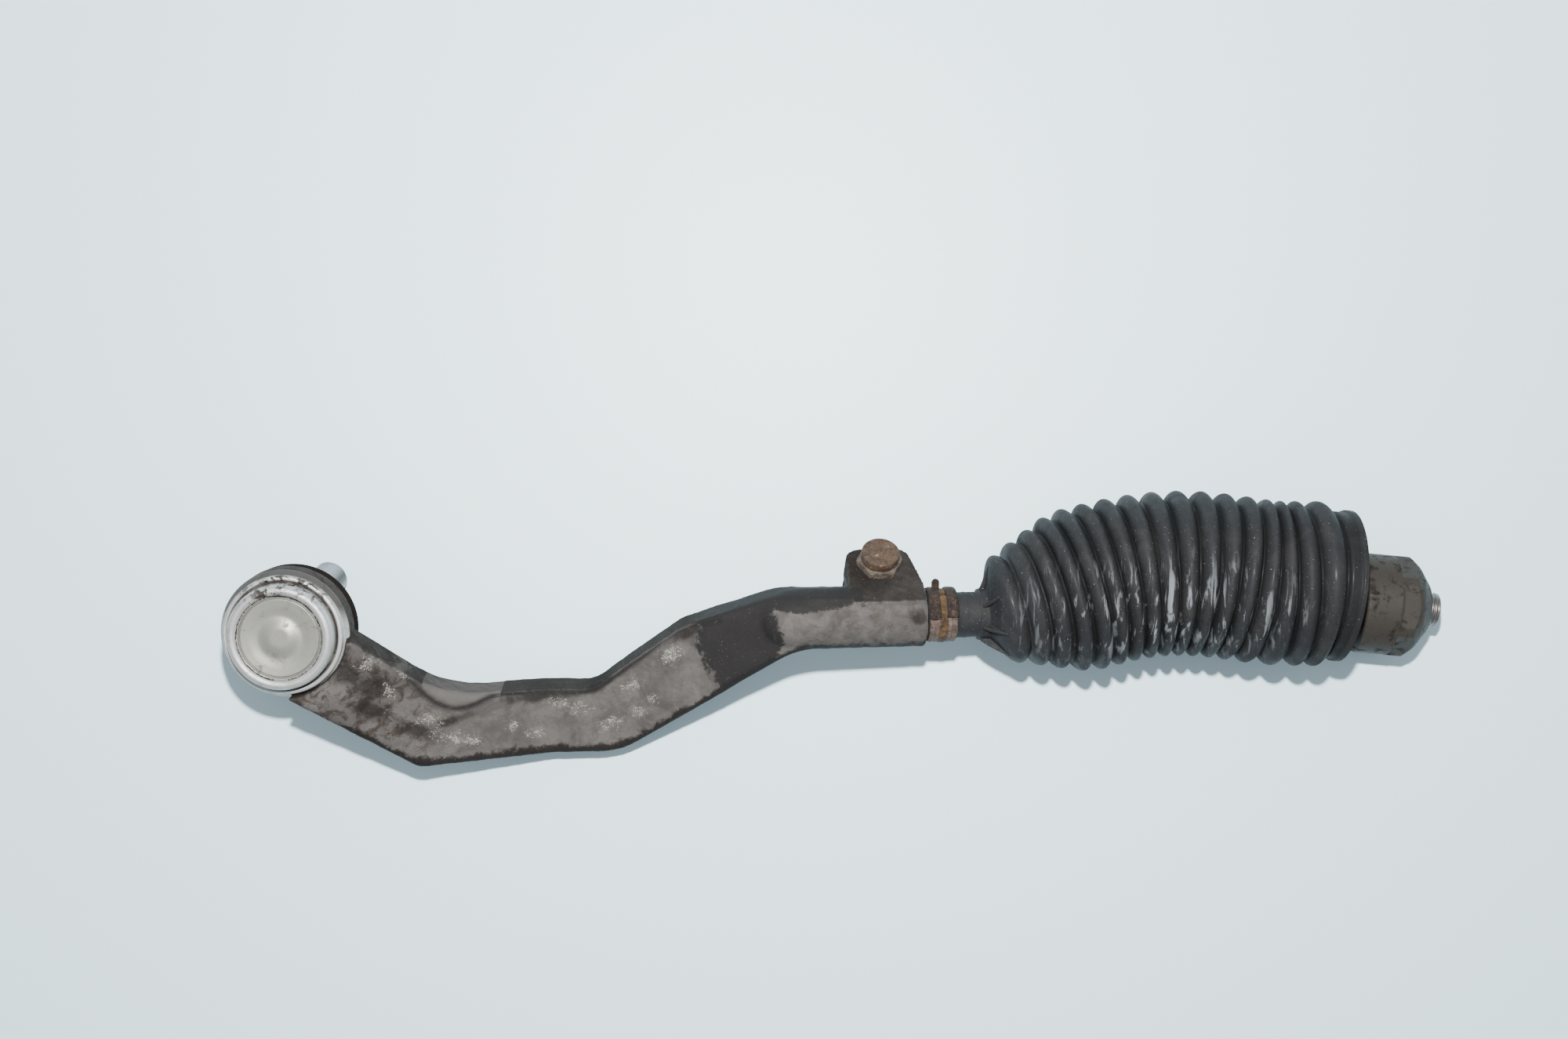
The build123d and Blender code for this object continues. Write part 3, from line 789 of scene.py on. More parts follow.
@dataclass(frozen=True)
class GreasyRubber(Finish):
    """Black rubber with a dull sheen, painted shade in its valleys, dust and smears of dried grease.

    Args:
        name: Name of the material.
        rubber: Colour of clean rubber.
        dust: Colour of dust.
        grease: Colour of dried grease.
        valley: Colour of the painted shade in the valleys, where the piece carries that mark.
        smear_at: Middle of the smeared stretch, in millimetres.
        smear_size: Half-widths of that stretch, in millimetres.
        smears: Strength of the smears.
        gloss: Specular level.
        film: Strength of the thin oil film.
        roughness: Roughness of clean rubber.
        relief: Depth of the grain and the smears, in millimetres.
    """

    name: str
    rubber: Colour = srgb(30, 31, 33)
    dust: Colour = srgb(54, 52, 51)
    grease: Colour = srgb(128, 131, 134)
    valley: Colour = srgb(9, 9, 9)
    smear_at: Point = (124.0, 6.0, 50.0)
    smear_size: Point = (58.0, 24.0, 60.0)
    smears: float = 0.75
    gloss: float = 0.08
    film: float = 0.07
    roughness: float = 0.62
    relief: float = 0.12

    def paint(self, graph: Graph, shader: Node) -> None:
        """Dust the rubber, draw its smears round the folds and paint shade in its valleys.

        Args:
            graph: Graph of the material.
            shader: Its shader.
        """
        colour = graph.tint(self.rubber, self.dust, graph.group("grain", "Shade", Size=0.8), 0.22)
        dusty = graph.span(graph.noise(14.0, 5.0, 0.6, 0.6), 0.48, 0.68)
        colour = graph.tint(colour, self.dust, dusty, 0.30)
        streaks = graph.noise(4.2, 5.0, 0.62, 0.6, graph.stretched((1.8, 0.26, 0.4), (0.0, 0.0, -9.0)))
        zone = graph.spot(self.smear_at, self.smear_size, 0.8, 0.5)
        smear = graph.times(graph.span(streaks, 0.53, 0.65), zone)
        colour = graph.tint(colour, self.grease, smear, self.smears)
        colour = graph.tint(colour, self.grease, graph.span(graph.noise(0.55, 1.0, 0.5), 0.745, 0.78), 0.8)
        # Painted shade: the valley mark darkens the folds' valleys and the inside of the bellows.
        colour = graph.tint(colour, self.valley, graph.mark("valley"), 0.85)
        film = graph.span(graph.noise(9.0, 4.0, 0.6), 0.42, 0.66, 0.0, self.film)
        graph.feed(shader, Coat_Roughness=0.28, Coat_Weight=film)
        rough = graph.math("MULTIPLY_ADD", dusty, 0.22, self.roughness)
        rough = graph.math("MULTIPLY_ADD", smear, 0.2, rough)
        height = graph.plus(graph.group("grain", "Height", Size=0.8), graph.times(smear, 0.3))
        self.lay(graph, shader, colour, rough, 0.0, self.gloss, height, self.relief)


CAP = SatinSteel("dulled_cap", srgb(133, 132, 125), srgb(80, 76, 67), 0.42, 0.62, 0.5, 0.06)
COLLAR = SatinSteel("turned_collar", srgb(166, 167, 164), srgb(48, 42, 37), 0.44, 0.28, 0.5, 0.14,
                    dirt_at=(-213.0, 17.0, 52.0), dirt_size=(24.0, 12.0, 30.0))
# The chamfer's faces turned to +Y are darkened: painted shade.
CHAMFER = SatinSteel("turned_chamfer", srgb(164, 165, 162), srgb(46, 40, 36), 0.5, 0.4, 0.4, 0.14,
                     painted_shade=("Y", 0.3, -0.05))
WALL = SatinSteel("greasy_wall", srgb(50, 44, 40), srgb(22, 19, 18), 0.66, 0.6, 0.0, 0.2, 0.04)
# The stud's sides and underside are darkened and its upward faces left bright: painted shade.
POLISHED = SatinSteel("polished_stud", srgb(160, 158, 158), srgb(34, 31, 31), 0.22, 0.3, 0.85, 0.02,
                      painted_shade=("Z", 0.28, 0.5))
WIRE = SatinSteel("dull_wire", srgb(70, 68, 65), srgb(36, 34, 31), 0.45, 0.4)
ROD = SatinSteel("greasy_rod", srgb(92, 88, 84), srgb(40, 34, 30), 0.4, 0.5, 0.8)
GREASED = SatinSteel("greased_housing", srgb(48, 45, 41), srgb(24, 20, 17), 0.56, 0.9, 0.12, 0.10, 0.14)
STUB = SatinSteel("bare_thread", srgb(120, 117, 114), srgb(44, 40, 36), 0.32, 0.4, 0.85, 0.04)
PLASTIC = SatinSteel("moulded_bearing", srgb(206, 202, 190), srgb(176, 170, 156), 0.42, 0.2, 0.0)
BOLT_CROWN, BOLT_SKIRT, CLIP_RUST, BAND_RUST, TONGUE_RUST = (
    RustedSteel(name, *(srgb(*colour) for colour in colours), amount) for name, *colours, amount in (
        ("rust_crust", (68, 54, 42), (88, 62, 40), (140, 130, 112), (34, 26, 21), 0.45),
        ("rust_film", (82, 74, 66), (96, 76, 54), (134, 124, 108), (42, 35, 30), 0.4),
        ("dark_rust", (30, 22, 18), (58, 40, 27), (104, 90, 68), (10, 8, 7), 0.6),
        ("grooved_rust", (92, 80, 74), (84, 62, 42), (128, 116, 106), (38, 30, 26), 0.6),
        ("yellow_rust", (64, 46, 29), (98, 72, 36), (116, 104, 82), (28, 20, 15), 0.65),
    )
)
BELLOWS_RUBBER = GreasyRubber("greasy_bellows")
BOOT_RUBBER = GreasyRubber("greasy_boot", srgb(20, 17, 16), srgb(36, 32, 30), srgb(58, 52, 47),
                           smears=0.0, gloss=0.02, film=0.0)


class MeshMaker:
    """Turns grids of points into meshes with closed seams."""

    @staticmethod
    def surface(name: str, points: Grid, around: Seam = Seam.ROUND, along: Seam = Seam.OPEN,
                caps: bool = False) -> Piece:
        """Make a surface from a grid of points.

        The grid's first axis runs along the piece and the second one around it. A face joins
        each point to its next neighbours on both axes, and a round axis wraps to its start.

        Args:
            name: Name of the piece.
            points: Array of rows, columns and three coordinates, in millimetres.
            around: How the second axis closes.
            along: How the first axis closes.
            caps: Whether the first and last rows are closed by a face.

        Returns:
            The linked object.
        """
        rows, columns = points.shape[:2]
        index = np.arange(rows * columns).reshape(rows, columns)
        low = index if along is Seam.ROUND else index[:-1]
        high = np.roll(index, -1, 0) if along is Seam.ROUND else index[1:]
        if around is Seam.ROUND:
            low_next, high_next = np.roll(low, -1, 1), np.roll(high, -1, 1)
        else:
            low, low_next = low[:, :-1], low[:, 1:]
            high, high_next = high[:, :-1], high[:, 1:]
        faces = np.stack([low, low_next, high_next, high], -1).reshape(-1, 4).tolist()
        if caps:
            faces += [index[0][::-1].tolist(), index[-1].tolist()]
        mesh = bpy.data.meshes.new(name)
        mesh.from_pydata((points.reshape(-1, 3) * MM).tolist(), [], faces)
        mesh.update()
        mesh.shade_smooth()
        return MeshMaker.link(name, mesh)

    @staticmethod
    def link(name: str, data: bpy.types.ID) -> Piece:
        """Make an object of some data and link it to the scene.

        Args:
            name: Name of the object.
            data: Its mesh, light or camera.

        Returns:
            The object.
        """
        piece = bpy.data.objects.new(name, data)
        bpy.context.scene.collection.objects.link(piece)
        return piece

    @staticmethod
    def thicken(piece: Piece, thickness: float, offset: float = 0.0) -> None:
        """Give a thin surface its wall, in millimetres."""
        wall = piece.modifiers.new("wall", "SOLIDIFY")
        wall.thickness, wall.offset = thickness * MM, offset

    @staticmethod
    def lathe(name: str, axis: Axis, profile: Sequence[Pair], steps: int) -> Piece:
        """Turn a closed profile about an axis.

        Each point of the profile gives a station and a radius, and the surface is that pair
        carried round the axis through a full circle.

        Args:
            name: Name of the piece.
            axis: Axis of the piece.
            profile: Station and radius pairs in order.
            steps: Steps round the axis.

        Returns:
            The linked object.
        """
        stations, radii = np.array(profile, float).T
        station, angle = crossed(stations, turns(steps))
        return MeshMaker.surface(name, axis.ring(station, np.repeat(radii[:, None], steps, 1), angle))

    @staticmethod
    def rounded(corners: Sequence[Pair], radius: float, steps: int = 4) -> list[Pair]:
        """Round the inner corners of a profile.

        Each corner is replaced by a quadratic curve that starts and ends at the radius' distance
        from it, or at under half of the shorter side.

        Args:
            corners: Points of the profile.
            radius: Distance from a corner at which its curve starts.
            steps: Points on each curve.

        Returns:
            The rounded profile.
        """
        points = np.array(corners, float)
        made = [tuple(points[0])]
        share = np.linspace(0, 1, steps)[:, None]
        for before, here, after in zip(points[:-2], points[1:-1], points[2:]):
            back, ahead = before - here, after - here
            reach = min(radius, 0.45 * np.linalg.norm(back), 0.45 * np.linalg.norm(ahead))
            first, last = here + unit(back) * reach, here + unit(ahead) * reach
            curve = (1 - share) ** 2 * first + 2 * share * (1 - share) * here + share**2 * last
            made += [tuple(point) for point in curve]
        return made + [tuple(points[-1])]


def write_mark(mesh: bpy.types.Mesh, name: str, values: Grid) -> None:
    """Store one value for each point of a mesh, for its finish to read."""
    mesh.attributes.new(name, "FLOAT", "POINT").data.foreach_set("value", values.astype(np.float32).ravel())


def coat(piece: Piece, finish: Finish) -> None:
    """Put a finish on a piece, in place of the one that it wears."""
    piece.data.materials.clear()
    piece.data.materials.append(finish.material())


def dress(piece: Piece, finish: Finish, slot: str, *nodes: str, body: Optional[Body] = Body.ARM) -> None:
    """Give a piece its finish and its body, and hide the nodes that it stands for.

    Args:
        piece: The piece.
        finish: Its finish.
        slot: Material slot of the record; not used.
        nodes: Nodes that it replaces.
        body: Body that it moves with, or none to leave it on no body.
    """
    coat(piece, finish)
    if body:
        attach(piece, body.value)
    if nodes:
        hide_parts(*nodes)
    LOG.info("%s: %d faces", piece.name, len(piece.data.polygons))


def read_vectors(mesh: bpy.types.Mesh, name: str) -> Grid:
    """Read one vector for each point of a mesh.

    Args:
        mesh: The mesh.
        name: Blender's name of the vector.

    Returns:
        The vectors, one in a row.
    """
    values = np.zeros(len(mesh.vertices) * 3)
    mesh.vertices.foreach_get(name, values)
    return values.reshape(-1, 3)


@dataclass
class ForgedArm:
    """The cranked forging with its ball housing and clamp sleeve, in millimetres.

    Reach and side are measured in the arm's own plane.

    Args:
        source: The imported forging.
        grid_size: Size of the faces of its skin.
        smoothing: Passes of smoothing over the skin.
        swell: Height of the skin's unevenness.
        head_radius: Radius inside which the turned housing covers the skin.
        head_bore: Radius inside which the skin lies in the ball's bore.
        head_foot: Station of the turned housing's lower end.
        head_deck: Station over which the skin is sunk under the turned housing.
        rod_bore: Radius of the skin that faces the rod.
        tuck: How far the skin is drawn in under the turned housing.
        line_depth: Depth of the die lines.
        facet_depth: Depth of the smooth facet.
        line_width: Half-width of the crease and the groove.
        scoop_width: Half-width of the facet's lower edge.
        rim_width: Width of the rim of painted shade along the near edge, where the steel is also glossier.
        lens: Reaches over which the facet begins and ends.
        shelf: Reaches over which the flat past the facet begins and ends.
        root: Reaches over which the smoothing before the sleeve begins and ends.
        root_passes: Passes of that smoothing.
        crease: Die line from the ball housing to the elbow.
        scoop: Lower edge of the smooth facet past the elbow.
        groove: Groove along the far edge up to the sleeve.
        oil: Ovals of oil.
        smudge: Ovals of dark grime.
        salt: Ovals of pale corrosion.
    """

    source: Piece
    grid_size: float = 0.76
    smoothing: int = 3
    swell: float = 0.12
    head_radius: float = 25.0
    head_bore: float = 17.0
    head_foot: float = -13.0
    head_deck: float = 6.0
    rod_bore: float = 9.0
    tuck: float = 0.8
    line_depth: float = 0.55
    facet_depth: float = 0.30
    line_width: float = 1.5
    scoop_width: float = 1.4
    rim_width: float = 8.0
    lens: tuple[Pair, Pair] = ((50.0, 53.0), (80.0, 82.0))
    shelf: tuple[Pair, Pair] = ((82.0, 84.0), (138.0, 150.0))
    root: tuple[Pair, Pair] = ((168.0, 178.0), (196.0, 208.0))
    root_passes: int = 30
    crease: tuple[Pair, ...] = (
        (24.5, 3.0), (32.0, -1.0), (37.0, -6.3), (42.5, -12.7), (46.6, -18.0), (49.9, -21.9),
    )
    scoop: tuple[Pair, ...] = (
        (49.9, -21.9), (53.0, -26.2), (56.4, -29.3), (60.0, -31.6), (64.0, -32.8), (68.0, -32.8),
        (72.0, -31.6), (76.5, -29.4), (80.6, -27.6),
    )
    groove: tuple[Pair, ...] = (
        (80.6, -27.6), (99.9, -29.8), (112.4, -30.0), (119.6, -27.7), (128.2, -21.5),
        (137.9, -13.2), (147.5, -4.3), (157.0, 1.0), (168.0, 4.0),
    )
    oil: tuple[tuple[float, ...], ...] = (
        (176.0, -2.0, 18.0, 27.0, 8.0), (198.0, 15.5, 28.0, 4.5, 0.0), (190.0, -14.0, 14.0, 4.0, 15.0),
        (212.0, -9.5, 28.0, 2.2, 0.0),
    )
    smudge: tuple[tuple[float, ...], ...] = (
        (24.0, -13.0, 10.0, 8.0, -40.0), (33.0, -20.0, 9.0, 9.0, 0.0), (32.0, -29.5, 10.0, 6.0, -30.0),
        (49.0, -40.0, 15.0, 4.5, -25.0), (225.0, 24.0, 16.0, 11.0, 0.0), (96.0, -31.0, 18.0, 3.0, 0.0),
        (120.0, -27.0, 9.0, 3.0, 35.0), (246.0, 8.0, 5.0, 4.0, 0.0), (158.0, -1.0, 14.0, 3.0, 30.0),
        (22.0, -1.0, 4.0, 14.0, 10.0), (60.0, -38.0, 12.0, 2.5, 12.0),
    )
    salt: tuple[tuple[float, ...], ...] = (
        (54.5, -36.0, 8.0, 5.5, -20.0), (70.0, -47.0, 7.0, 3.5, 0.0), (94.5, -46.0, 6.0, 4.0, 0.0),
        (124.0, -43.0, 7.5, 5.0, 20.0), (135.0, -37.0, 4.5, 4.0, 0.0), (133.0, -27.0, 7.0, 4.5, 40.0),
        (39.5, -23.0, 3.0, 6.5, 15.0), (31.5, -10.5, 5.5, 4.5, 0.0), (43.0, -14.5, 12.0, 1.8, -52.0),
        (86.0, -42.0, 5.0, 3.0, 20.0), (104.0, -34.0, 8.0, 3.0, -10.0), (141.0, -31.0, 4.0, 3.0, 0.0),
        (150.0, -12.0, 8.0, 6.0, 35.0), (112.0, -36.0, 6.0, 4.0, 0.0), (62.0, -45.0, 12.0, 4.0, -15.0),
    )

    def build(self) -> None:
        """Make the skin of the forging.

        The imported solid's copy is rebuilt on an even grid and smoothed, which rounds its inner
        corners as a die does, and each point then moves along its normal by a soft noise and by
        the depth of the die lines.
        """
        copy = self.source.copy()
        copy.data = self.source.data.copy()
        copy.parent = None
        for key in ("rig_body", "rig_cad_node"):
            if key in copy:
                del copy[key]
        bpy.context.scene.collection.objects.link(copy)
        copy.modifiers.new("weld", "WELD").merge_threshold = 0.00001
        remesh = copy.modifiers.new("skin", "REMESH")
        remesh.mode, remesh.voxel_size = "VOXEL", self.grid_size * MM
        smooth = copy.modifiers.new("smooth", "SMOOTH")
        smooth.factor, smooth.iterations = 0.5, self.smoothing
        graph = bpy.context.evaluated_depsgraph_get()
        mesh = bpy.data.meshes.new_from_object(copy.evaluated_get(graph))
        bpy.data.objects.remove(copy)
        mesh.name = "forging_skin"
        self.finish_points(mesh)
        mesh.shade_smooth()
        skin = MeshMaker.link("forging_skin", mesh)
        self.soften_root(skin)
        dress(skin, ForgedSteel(), "forged_steel", "arm_forging")

    def soften_root(self, skin: Piece) -> None:
        """Smooth the skin where the flat arm runs out into the sleeve, and nowhere else.

        Args:
            skin: The skin.
        """
        reach, _ = LAYOUT.arm_plane(read_vectors(skin.data, "co") / MM)
        weight = window(reach, *self.root)
        group = skin.vertex_groups.new(name="root")
        for level in range(1, 11):
            chosen = np.flatnonzero((weight > level / 10 - 0.1) & (weight <= level / 10))
            group.add(chosen.tolist(), level / 10, "REPLACE")
        root = skin.modifiers.new("root", "SMOOTH")
        root.factor, root.iterations, root.vertex_group = 0.6, self.root_passes, "root"

    def finish_points(self, mesh: bpy.types.Mesh) -> None:
        """Move the skin's points and write its marks.

        Args:
            mesh: The skin's mesh.
        """
        points, normals = read_vectors(mesh, "co") / MM, read_vectors(mesh, "normal")
        marks = self.marks(points, normals)
        swell = 0.6 * soft_noise(points, 9.0, 3) + 0.4 * soft_noise(points, 3.5, 5)
        head, edge = LAYOUT.head, self.head_radius
        station, radius, _ = head.local(points)
        _, rod_radius, _ = LAYOUT.rod.local(points)
        swell[(radius < edge + 1.0) | (rod_radius < self.rod_bore)] = 0.0
        sunk = self.line_depth * marks["lines"] + self.facet_depth * marks["facet"]
        points += normals * (swell * self.swell - sunk)[:, None]
        inside = (radius > self.head_bore) & (radius < edge + 0.6) & (station > self.head_foot)
        _, moved, outward = head.local(points)
        drawn = self.tuck * (1.0 - smoothstep(radius, edge + 0.1, edge + 0.6)) * moved / radius
        points[inside] -= (outward * drawn[:, None])[inside]
        points[(radius < edge + 0.3) & (station > self.head_deck)] -= head.along * self.tuck
        mesh.vertices.foreach_set("co", (points * MM).ravel())
        for name, values in marks.items():
            write_mark(mesh, name, values)
        mesh.update()

    def edge_gap(self, reach: Grid, side: Grid) -> Grid:
        """Measure how far points are from the near edge.

        The edge's line is the least side at each reach, smoothed over a few millimetres.

        Args:
            reach: Reach of the points.
            side: Side of the points.

        Returns:
            The distances.
        """
        bins, first = 280, -30.0
        near_edge = np.full(bins, 1e3)
        np.minimum.at(near_edge, np.clip((reach - first).astype(int), 0, bins - 1), side)
        near_edge = np.convolve(np.pad(near_edge, 3, mode="edge"), np.ones(7) / 7, "valid")
        return side - np.interp(reach - first, np.arange(bins) + 0.5, near_edge)

    def marks(self, points: Grid, normals: Grid) -> dict[str, Grid]:
        """Work out the marks of the skin at each point, in the plane of the arm.

        Lines fall off from the die lines as a bell curve, the rim of painted shade is close to the near
        edge, and the other marks are 1 at the middle of their ovals and 0 at the edge. The smudge is
        raised to 0.45 on the upward strip past the crease before the facet, as painted shade.

        Args:
            points: Points of the skin, in millimetres.
            normals: Their normals.

        Returns:
            Values under each mark's name.
        """
        reach, side = LAYOUT.arm_plane(points)
        upward = smoothstep(normals[:, 2], 0.35, 0.7)
        gap = np.minimum(line_gap(reach, side, self.crease), line_gap(reach, side, self.groove))
        scoop_gap = line_gap(reach, side, self.scoop)
        lines = np.exp(-(np.minimum(gap / self.line_width, scoop_gap / self.scoop_width) ** 2))
        # The rim is a band of painted shade along the near edge.
        rim = np.clip(1.0 - self.edge_gap(reach, side) / self.rim_width, 0.0, 1.0)
        far_line = np.interp(reach, *np.array(self.crease + self.scoop[1:] + self.groove[1:]).T)
        beyond = smoothstep(side - far_line, 0.4, 1.8) * upward
        lens = window(reach, *self.lens)
        scooped = smoothstep(normals[:, 1], 0.2, 0.5) * lens
        # Painted shade: the upward strip past the crease, before the facet, is darkened through the smudge
        # mark.
        wall = beyond * smoothstep(self.lens[0][0] - reach, 0.0, 4.0)
        smudge = oval(reach, side, self.smudge)
        brown = smoothstep(62.0 - reach, 0.0, 26.0) + smoothstep(reach, 196.0, 206.0) * 0.15
        return {
            "lines": lines * upward,
            "rim": rim * smoothstep(reach, 14.0, 24.0),
            "oil": oval(reach, side, self.oil),
            "smudge": np.where(wall > 0.5, np.maximum(smudge, 0.45), smudge),
            "salt": oval(reach, side, self.salt),
            "facet": np.max([beyond * lens, 0.8 * beyond * window(reach, *self.shelf), scooped], axis=0),
            "brown": np.clip(0.25 + brown, 0.0, 1.0),
        }


@dataclass
class OuterJoint:
    """Turned housing, cap, stud and dust boot of the outer ball joint, in millimetres."""

    cap_seat: float = 14.3
    cap_top: float = 16.3
    cap_edge: float = 16.1
    boss: float = 6.4
    body: float = 25.05
    body_top: float = 8.2
    lip_radius: float = 20.65
    lip_top: float = 17.85
    groove: float = 21.3
    shoulder: float = 23.3
    shoulder_top: float = 11.65
    ball: float = 13.5
    boot_wall: float = 1.3

    def build(self) -> None:
        """Make every piece of the joint."""
        self.build_collar()
        self.build_cap()
        self.build_stud()
        self.build_boot()

    def build_collar(self) -> None:
        """Turn the housing's wall, and over it the shoulder ring, the groove and the rolled lip."""
        wall = [
            (-12.05, 12.5), (-12.05, 19.4), (-11.1, 19.45), (-11.1, 18.65), (-7.35, 18.65),
            (-6.8, 22.8), (-3.4, self.body), (5.9, self.body), (5.9, 23.4),
        ]
        flange = [
            (5.95, self.body - 1.6), (5.95, self.body), (6.5, self.body),
            (8.9, self.shoulder + 0.12), (8.9, 22.6),
        ]
        ring = [
            (self.body_top, self.shoulder - 0.4), (8.4, self.shoulder + 0.05),
            (self.shoulder_top - 0.4, self.shoulder), (self.shoulder_top, self.shoulder - 0.9),
            (self.shoulder_top - 0.1, self.groove + 0.5), (10.2, self.groove),
            (10.2, self.lip_radius - 0.05), (15.6, self.lip_radius), (17.3, self.lip_radius - 0.8),
            (self.lip_top, self.lip_radius - 2.2), (17.4, 17.3), (16.4, 16.3), (15.2, 16.15),
        ]
        for name, corners, rounding, steps, finish in (
            ("ball_housing_wall", wall, 0.5, 4, WALL),
            ("ball_housing_chamfer", flange, 0.4, 4, CHAMFER),
            ("ball_housing_collar", ring, 0.7, 6, COLLAR),
        ):
            profile = MeshMaker.rounded(corners, rounding, steps)
            dress(MeshMaker.lathe(name, LAYOUT.head, profile, 192), finish, "forged_steel")

    def build_cap(self) -> None:
        """Turn the dished cap with its soft boss.

        The top's height is the rim's height, less a shallow groove just inside the rim, plus a
        boss that falls off as a smooth step.
        """
        radius = np.concatenate([np.linspace(self.cap_edge, 14.2, 26), np.linspace(14.1, 0.05, 60)])
        groove = -0.8 * np.exp(-(((radius - 15.55) / 0.30) ** 2))
        dish = -0.25 * smoothstep(-radius, -15.6, -13.0) - 0.85 * smoothstep(-radius, -14.0, -8.0)
        dome = 1.45 * smoothstep(-radius, -self.boss - 2.6, -3.0)
        height = self.cap_top + groove + dish + dome
        flank = self.cap_edge + 1.4
        profile = [
            (self.cap_seat, 0.05), (self.cap_seat, flank), (self.cap_top - 0.1, flank),
            (self.cap_top, self.cap_edge + 0.1), *zip(height, radius),
        ]
        dress(MeshMaker.lathe("closing_cap", LAYOUT.head, profile, 160), CAP, "cap_steel", "closure_cap")

    def build_stud(self) -> None:
        """Turn the ball and its smooth shank."""
        angle = np.linspace(-np.pi / 2 + 0.02, 1.11, 40)
        shank = [
            (12.14, 5.9), (17.0, 5.9), (20.0, 8.6), (29.0, 8.6), (29.8, 7.0),
            (42.9, 7.0), (43.8, 6.1), (43.8, 5.2), (43.5, 0.05),
        ]
        ball = zip(self.ball * np.sin(angle), self.ball * np.cos(angle))
        profile = [*ball, *MeshMaker.rounded(shank, 0.5, 4)]
        stud = MeshMaker.lathe("ball_stud_turned", LAYOUT.stud, profile, 96)
        dress(stud, POLISHED, "stud_steel", "ball_stud", body=Body.STUD)

    def build_boot(self) -> None:
        """Mould the dust boot between the housing and the stud.

        Rings turn from the axis of the head to the axis of the stud: each ring's centre, normal
        and radius are smooth curves through a few named rings.
        """
        head, stud = LAYOUT.head, LAYOUT.stud
        down = -head.along
        middle = unit(down + stud.along)
        shift = LAYOUT.lean * 1.1
        centres = np.array([
            head.origin + down * 7.5,
            head.origin + down * 10.4,
            head.origin + down * 12.0 - shift,
            head.origin + down * 13.6 - shift,
            head.origin + middle * 20.5 - shift,
            stud.origin + stud.along * 23.2,
            stud.origin + stud.along * 25.0,
            stud.origin + stud.along * 28.4,
        ])
        normals = np.array([down, down, down, down, middle, stud.along, stud.along, stud.along])
        radii = np.array([20.15, 20.15, 24.6, 25.1, 20.6, 13.6, 10.65, 10.65])[:, None]
        share = np.linspace(0, len(radii) - 1, 72)
        lower = np.clip(share.astype(int), 0, len(radii) - 2)
        past = (share - lower)[:, None]
        blend = 0.5 * smoothstep(past, 0.0, 1.0) + 0.5 * past
        centre, normal, radius = (
            values[lower] * (1 - blend) + values[lower + 1] * blend for values in (centres, normals, radii)
        )
        normal = unit(normal)
        side = unit(np.cross(normal, head.side))
        third = np.cross(normal, side)
        angle = turns(128)[None, :, None]
        around = np.cos(angle) * side[:, None] + np.sin(angle) * third[:, None]
        boot = MeshMaker.surface("dust_boot_moulded", centre[:, None] + radius[:, None] * around)
        MeshMaker.thicken(boot, self.boot_wall, -1.0)
        dress(boot, BOOT_RUBBER, "boot_rubber", "dust_boot", body=None)
        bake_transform(boot)


@dataclass
class ClampBolt:
    """Pinch bolt with a hexagon skirt and a round crown, in millimetres."""

    across_flats: float = 16.0
    skirt: float = 3.1
    crown: float = 7.55
    height: float = 7.2
    shank: float = 5.0
    length: float = 24.5
    pitch: float = 1.5

    def build(self) -> None:
        """Make the bolt."""
        self.build_skirt()
        self.build_crown()
        self.build_shank()

    def build_skirt(self) -> None:
        """Make the hexagon skirt.

        Its radius is the hexagon's, half its width over the cosine of the angle to the nearest
        flat, with corners along the rod and cut by a cone at its upper edge.
        """
        stations, cones = np.array([
            (0.0, 4.0), (0.0, 8.9), (0.25, 9.2), (self.skirt - 0.9, 9.3), (self.skirt - 0.25, 8.9),
            (self.skirt + 0.05, 8.35), (self.skirt + 0.2, self.crown - 0.15),
        ]).T
        station, angle = crossed(stations, turns(192))
        hexagon = self.across_flats / 2 / np.cos(angle % (np.pi / 3) - np.pi / 6)
        points = LAYOUT.bolt.ring(station, np.minimum(hexagon, cones[:, None]), angle)
        points += soft_noise(points, 2.6, 13)[..., None] * 0.08 * LAYOUT.bolt.along
        dress(MeshMaker.surface("pinch_bolt_skirt", points), BOLT_SKIRT, "rusty_bolt", "pinch_bolt")

    def build_crown(self) -> None:
        """Turn the crown, a disc with a rounded edge and a rough top."""
        edge = [
            (self.skirt - 0.2, self.crown - 0.6), (self.skirt + 0.2, self.crown - 0.1),
            (self.height - 1.1, self.crown), (self.height - 0.25, self.crown - 0.15),
            (self.height, self.crown - 0.7), (self.height - 0.05, self.crown - 1.3),
        ]
        inner = [(self.height - 0.12, value) for value in np.linspace(self.crown - 1.7, 0.05, 22)]
        stations, radii = np.array(MeshMaker.rounded(edge, 0.3, 4) + inner).T
        station, angle = crossed(stations, turns(192))
        radius = np.repeat(radii[:, None], angle.shape[1], 1)
        points = LAYOUT.bolt.ring(station, radius, angle)
        rough = 0.7 * soft_noise(points, 3.4, 11) + 0.5 * soft_noise(points, 1.7, 17)
        points += (0.16 * rough * (radius < self.crown - 0.9))[..., None] * LAYOUT.bolt.along
        dress(MeshMaker.surface("pinch_bolt_crown", points), BOLT_CROWN, "rusty_bolt")

    def build_shank(self) -> None:
        """Turn the shank, whose thread is a wave on its radius that climbs by one pitch each turn."""
        station, angle = crossed(np.linspace(0.0, -self.length, 180), turns(48))
        wave = np.abs(((station / self.pitch + angle / (2 * np.pi)) % 1.0) * 2 - 1)
        points = LAYOUT.bolt.ring(station, self.shank - 0.35 * wave * (station < -14.0), -angle)
        dress(MeshMaker.surface("pinch_bolt_shank", points, caps=True), BOLT_CROWN, "rusty_bolt")


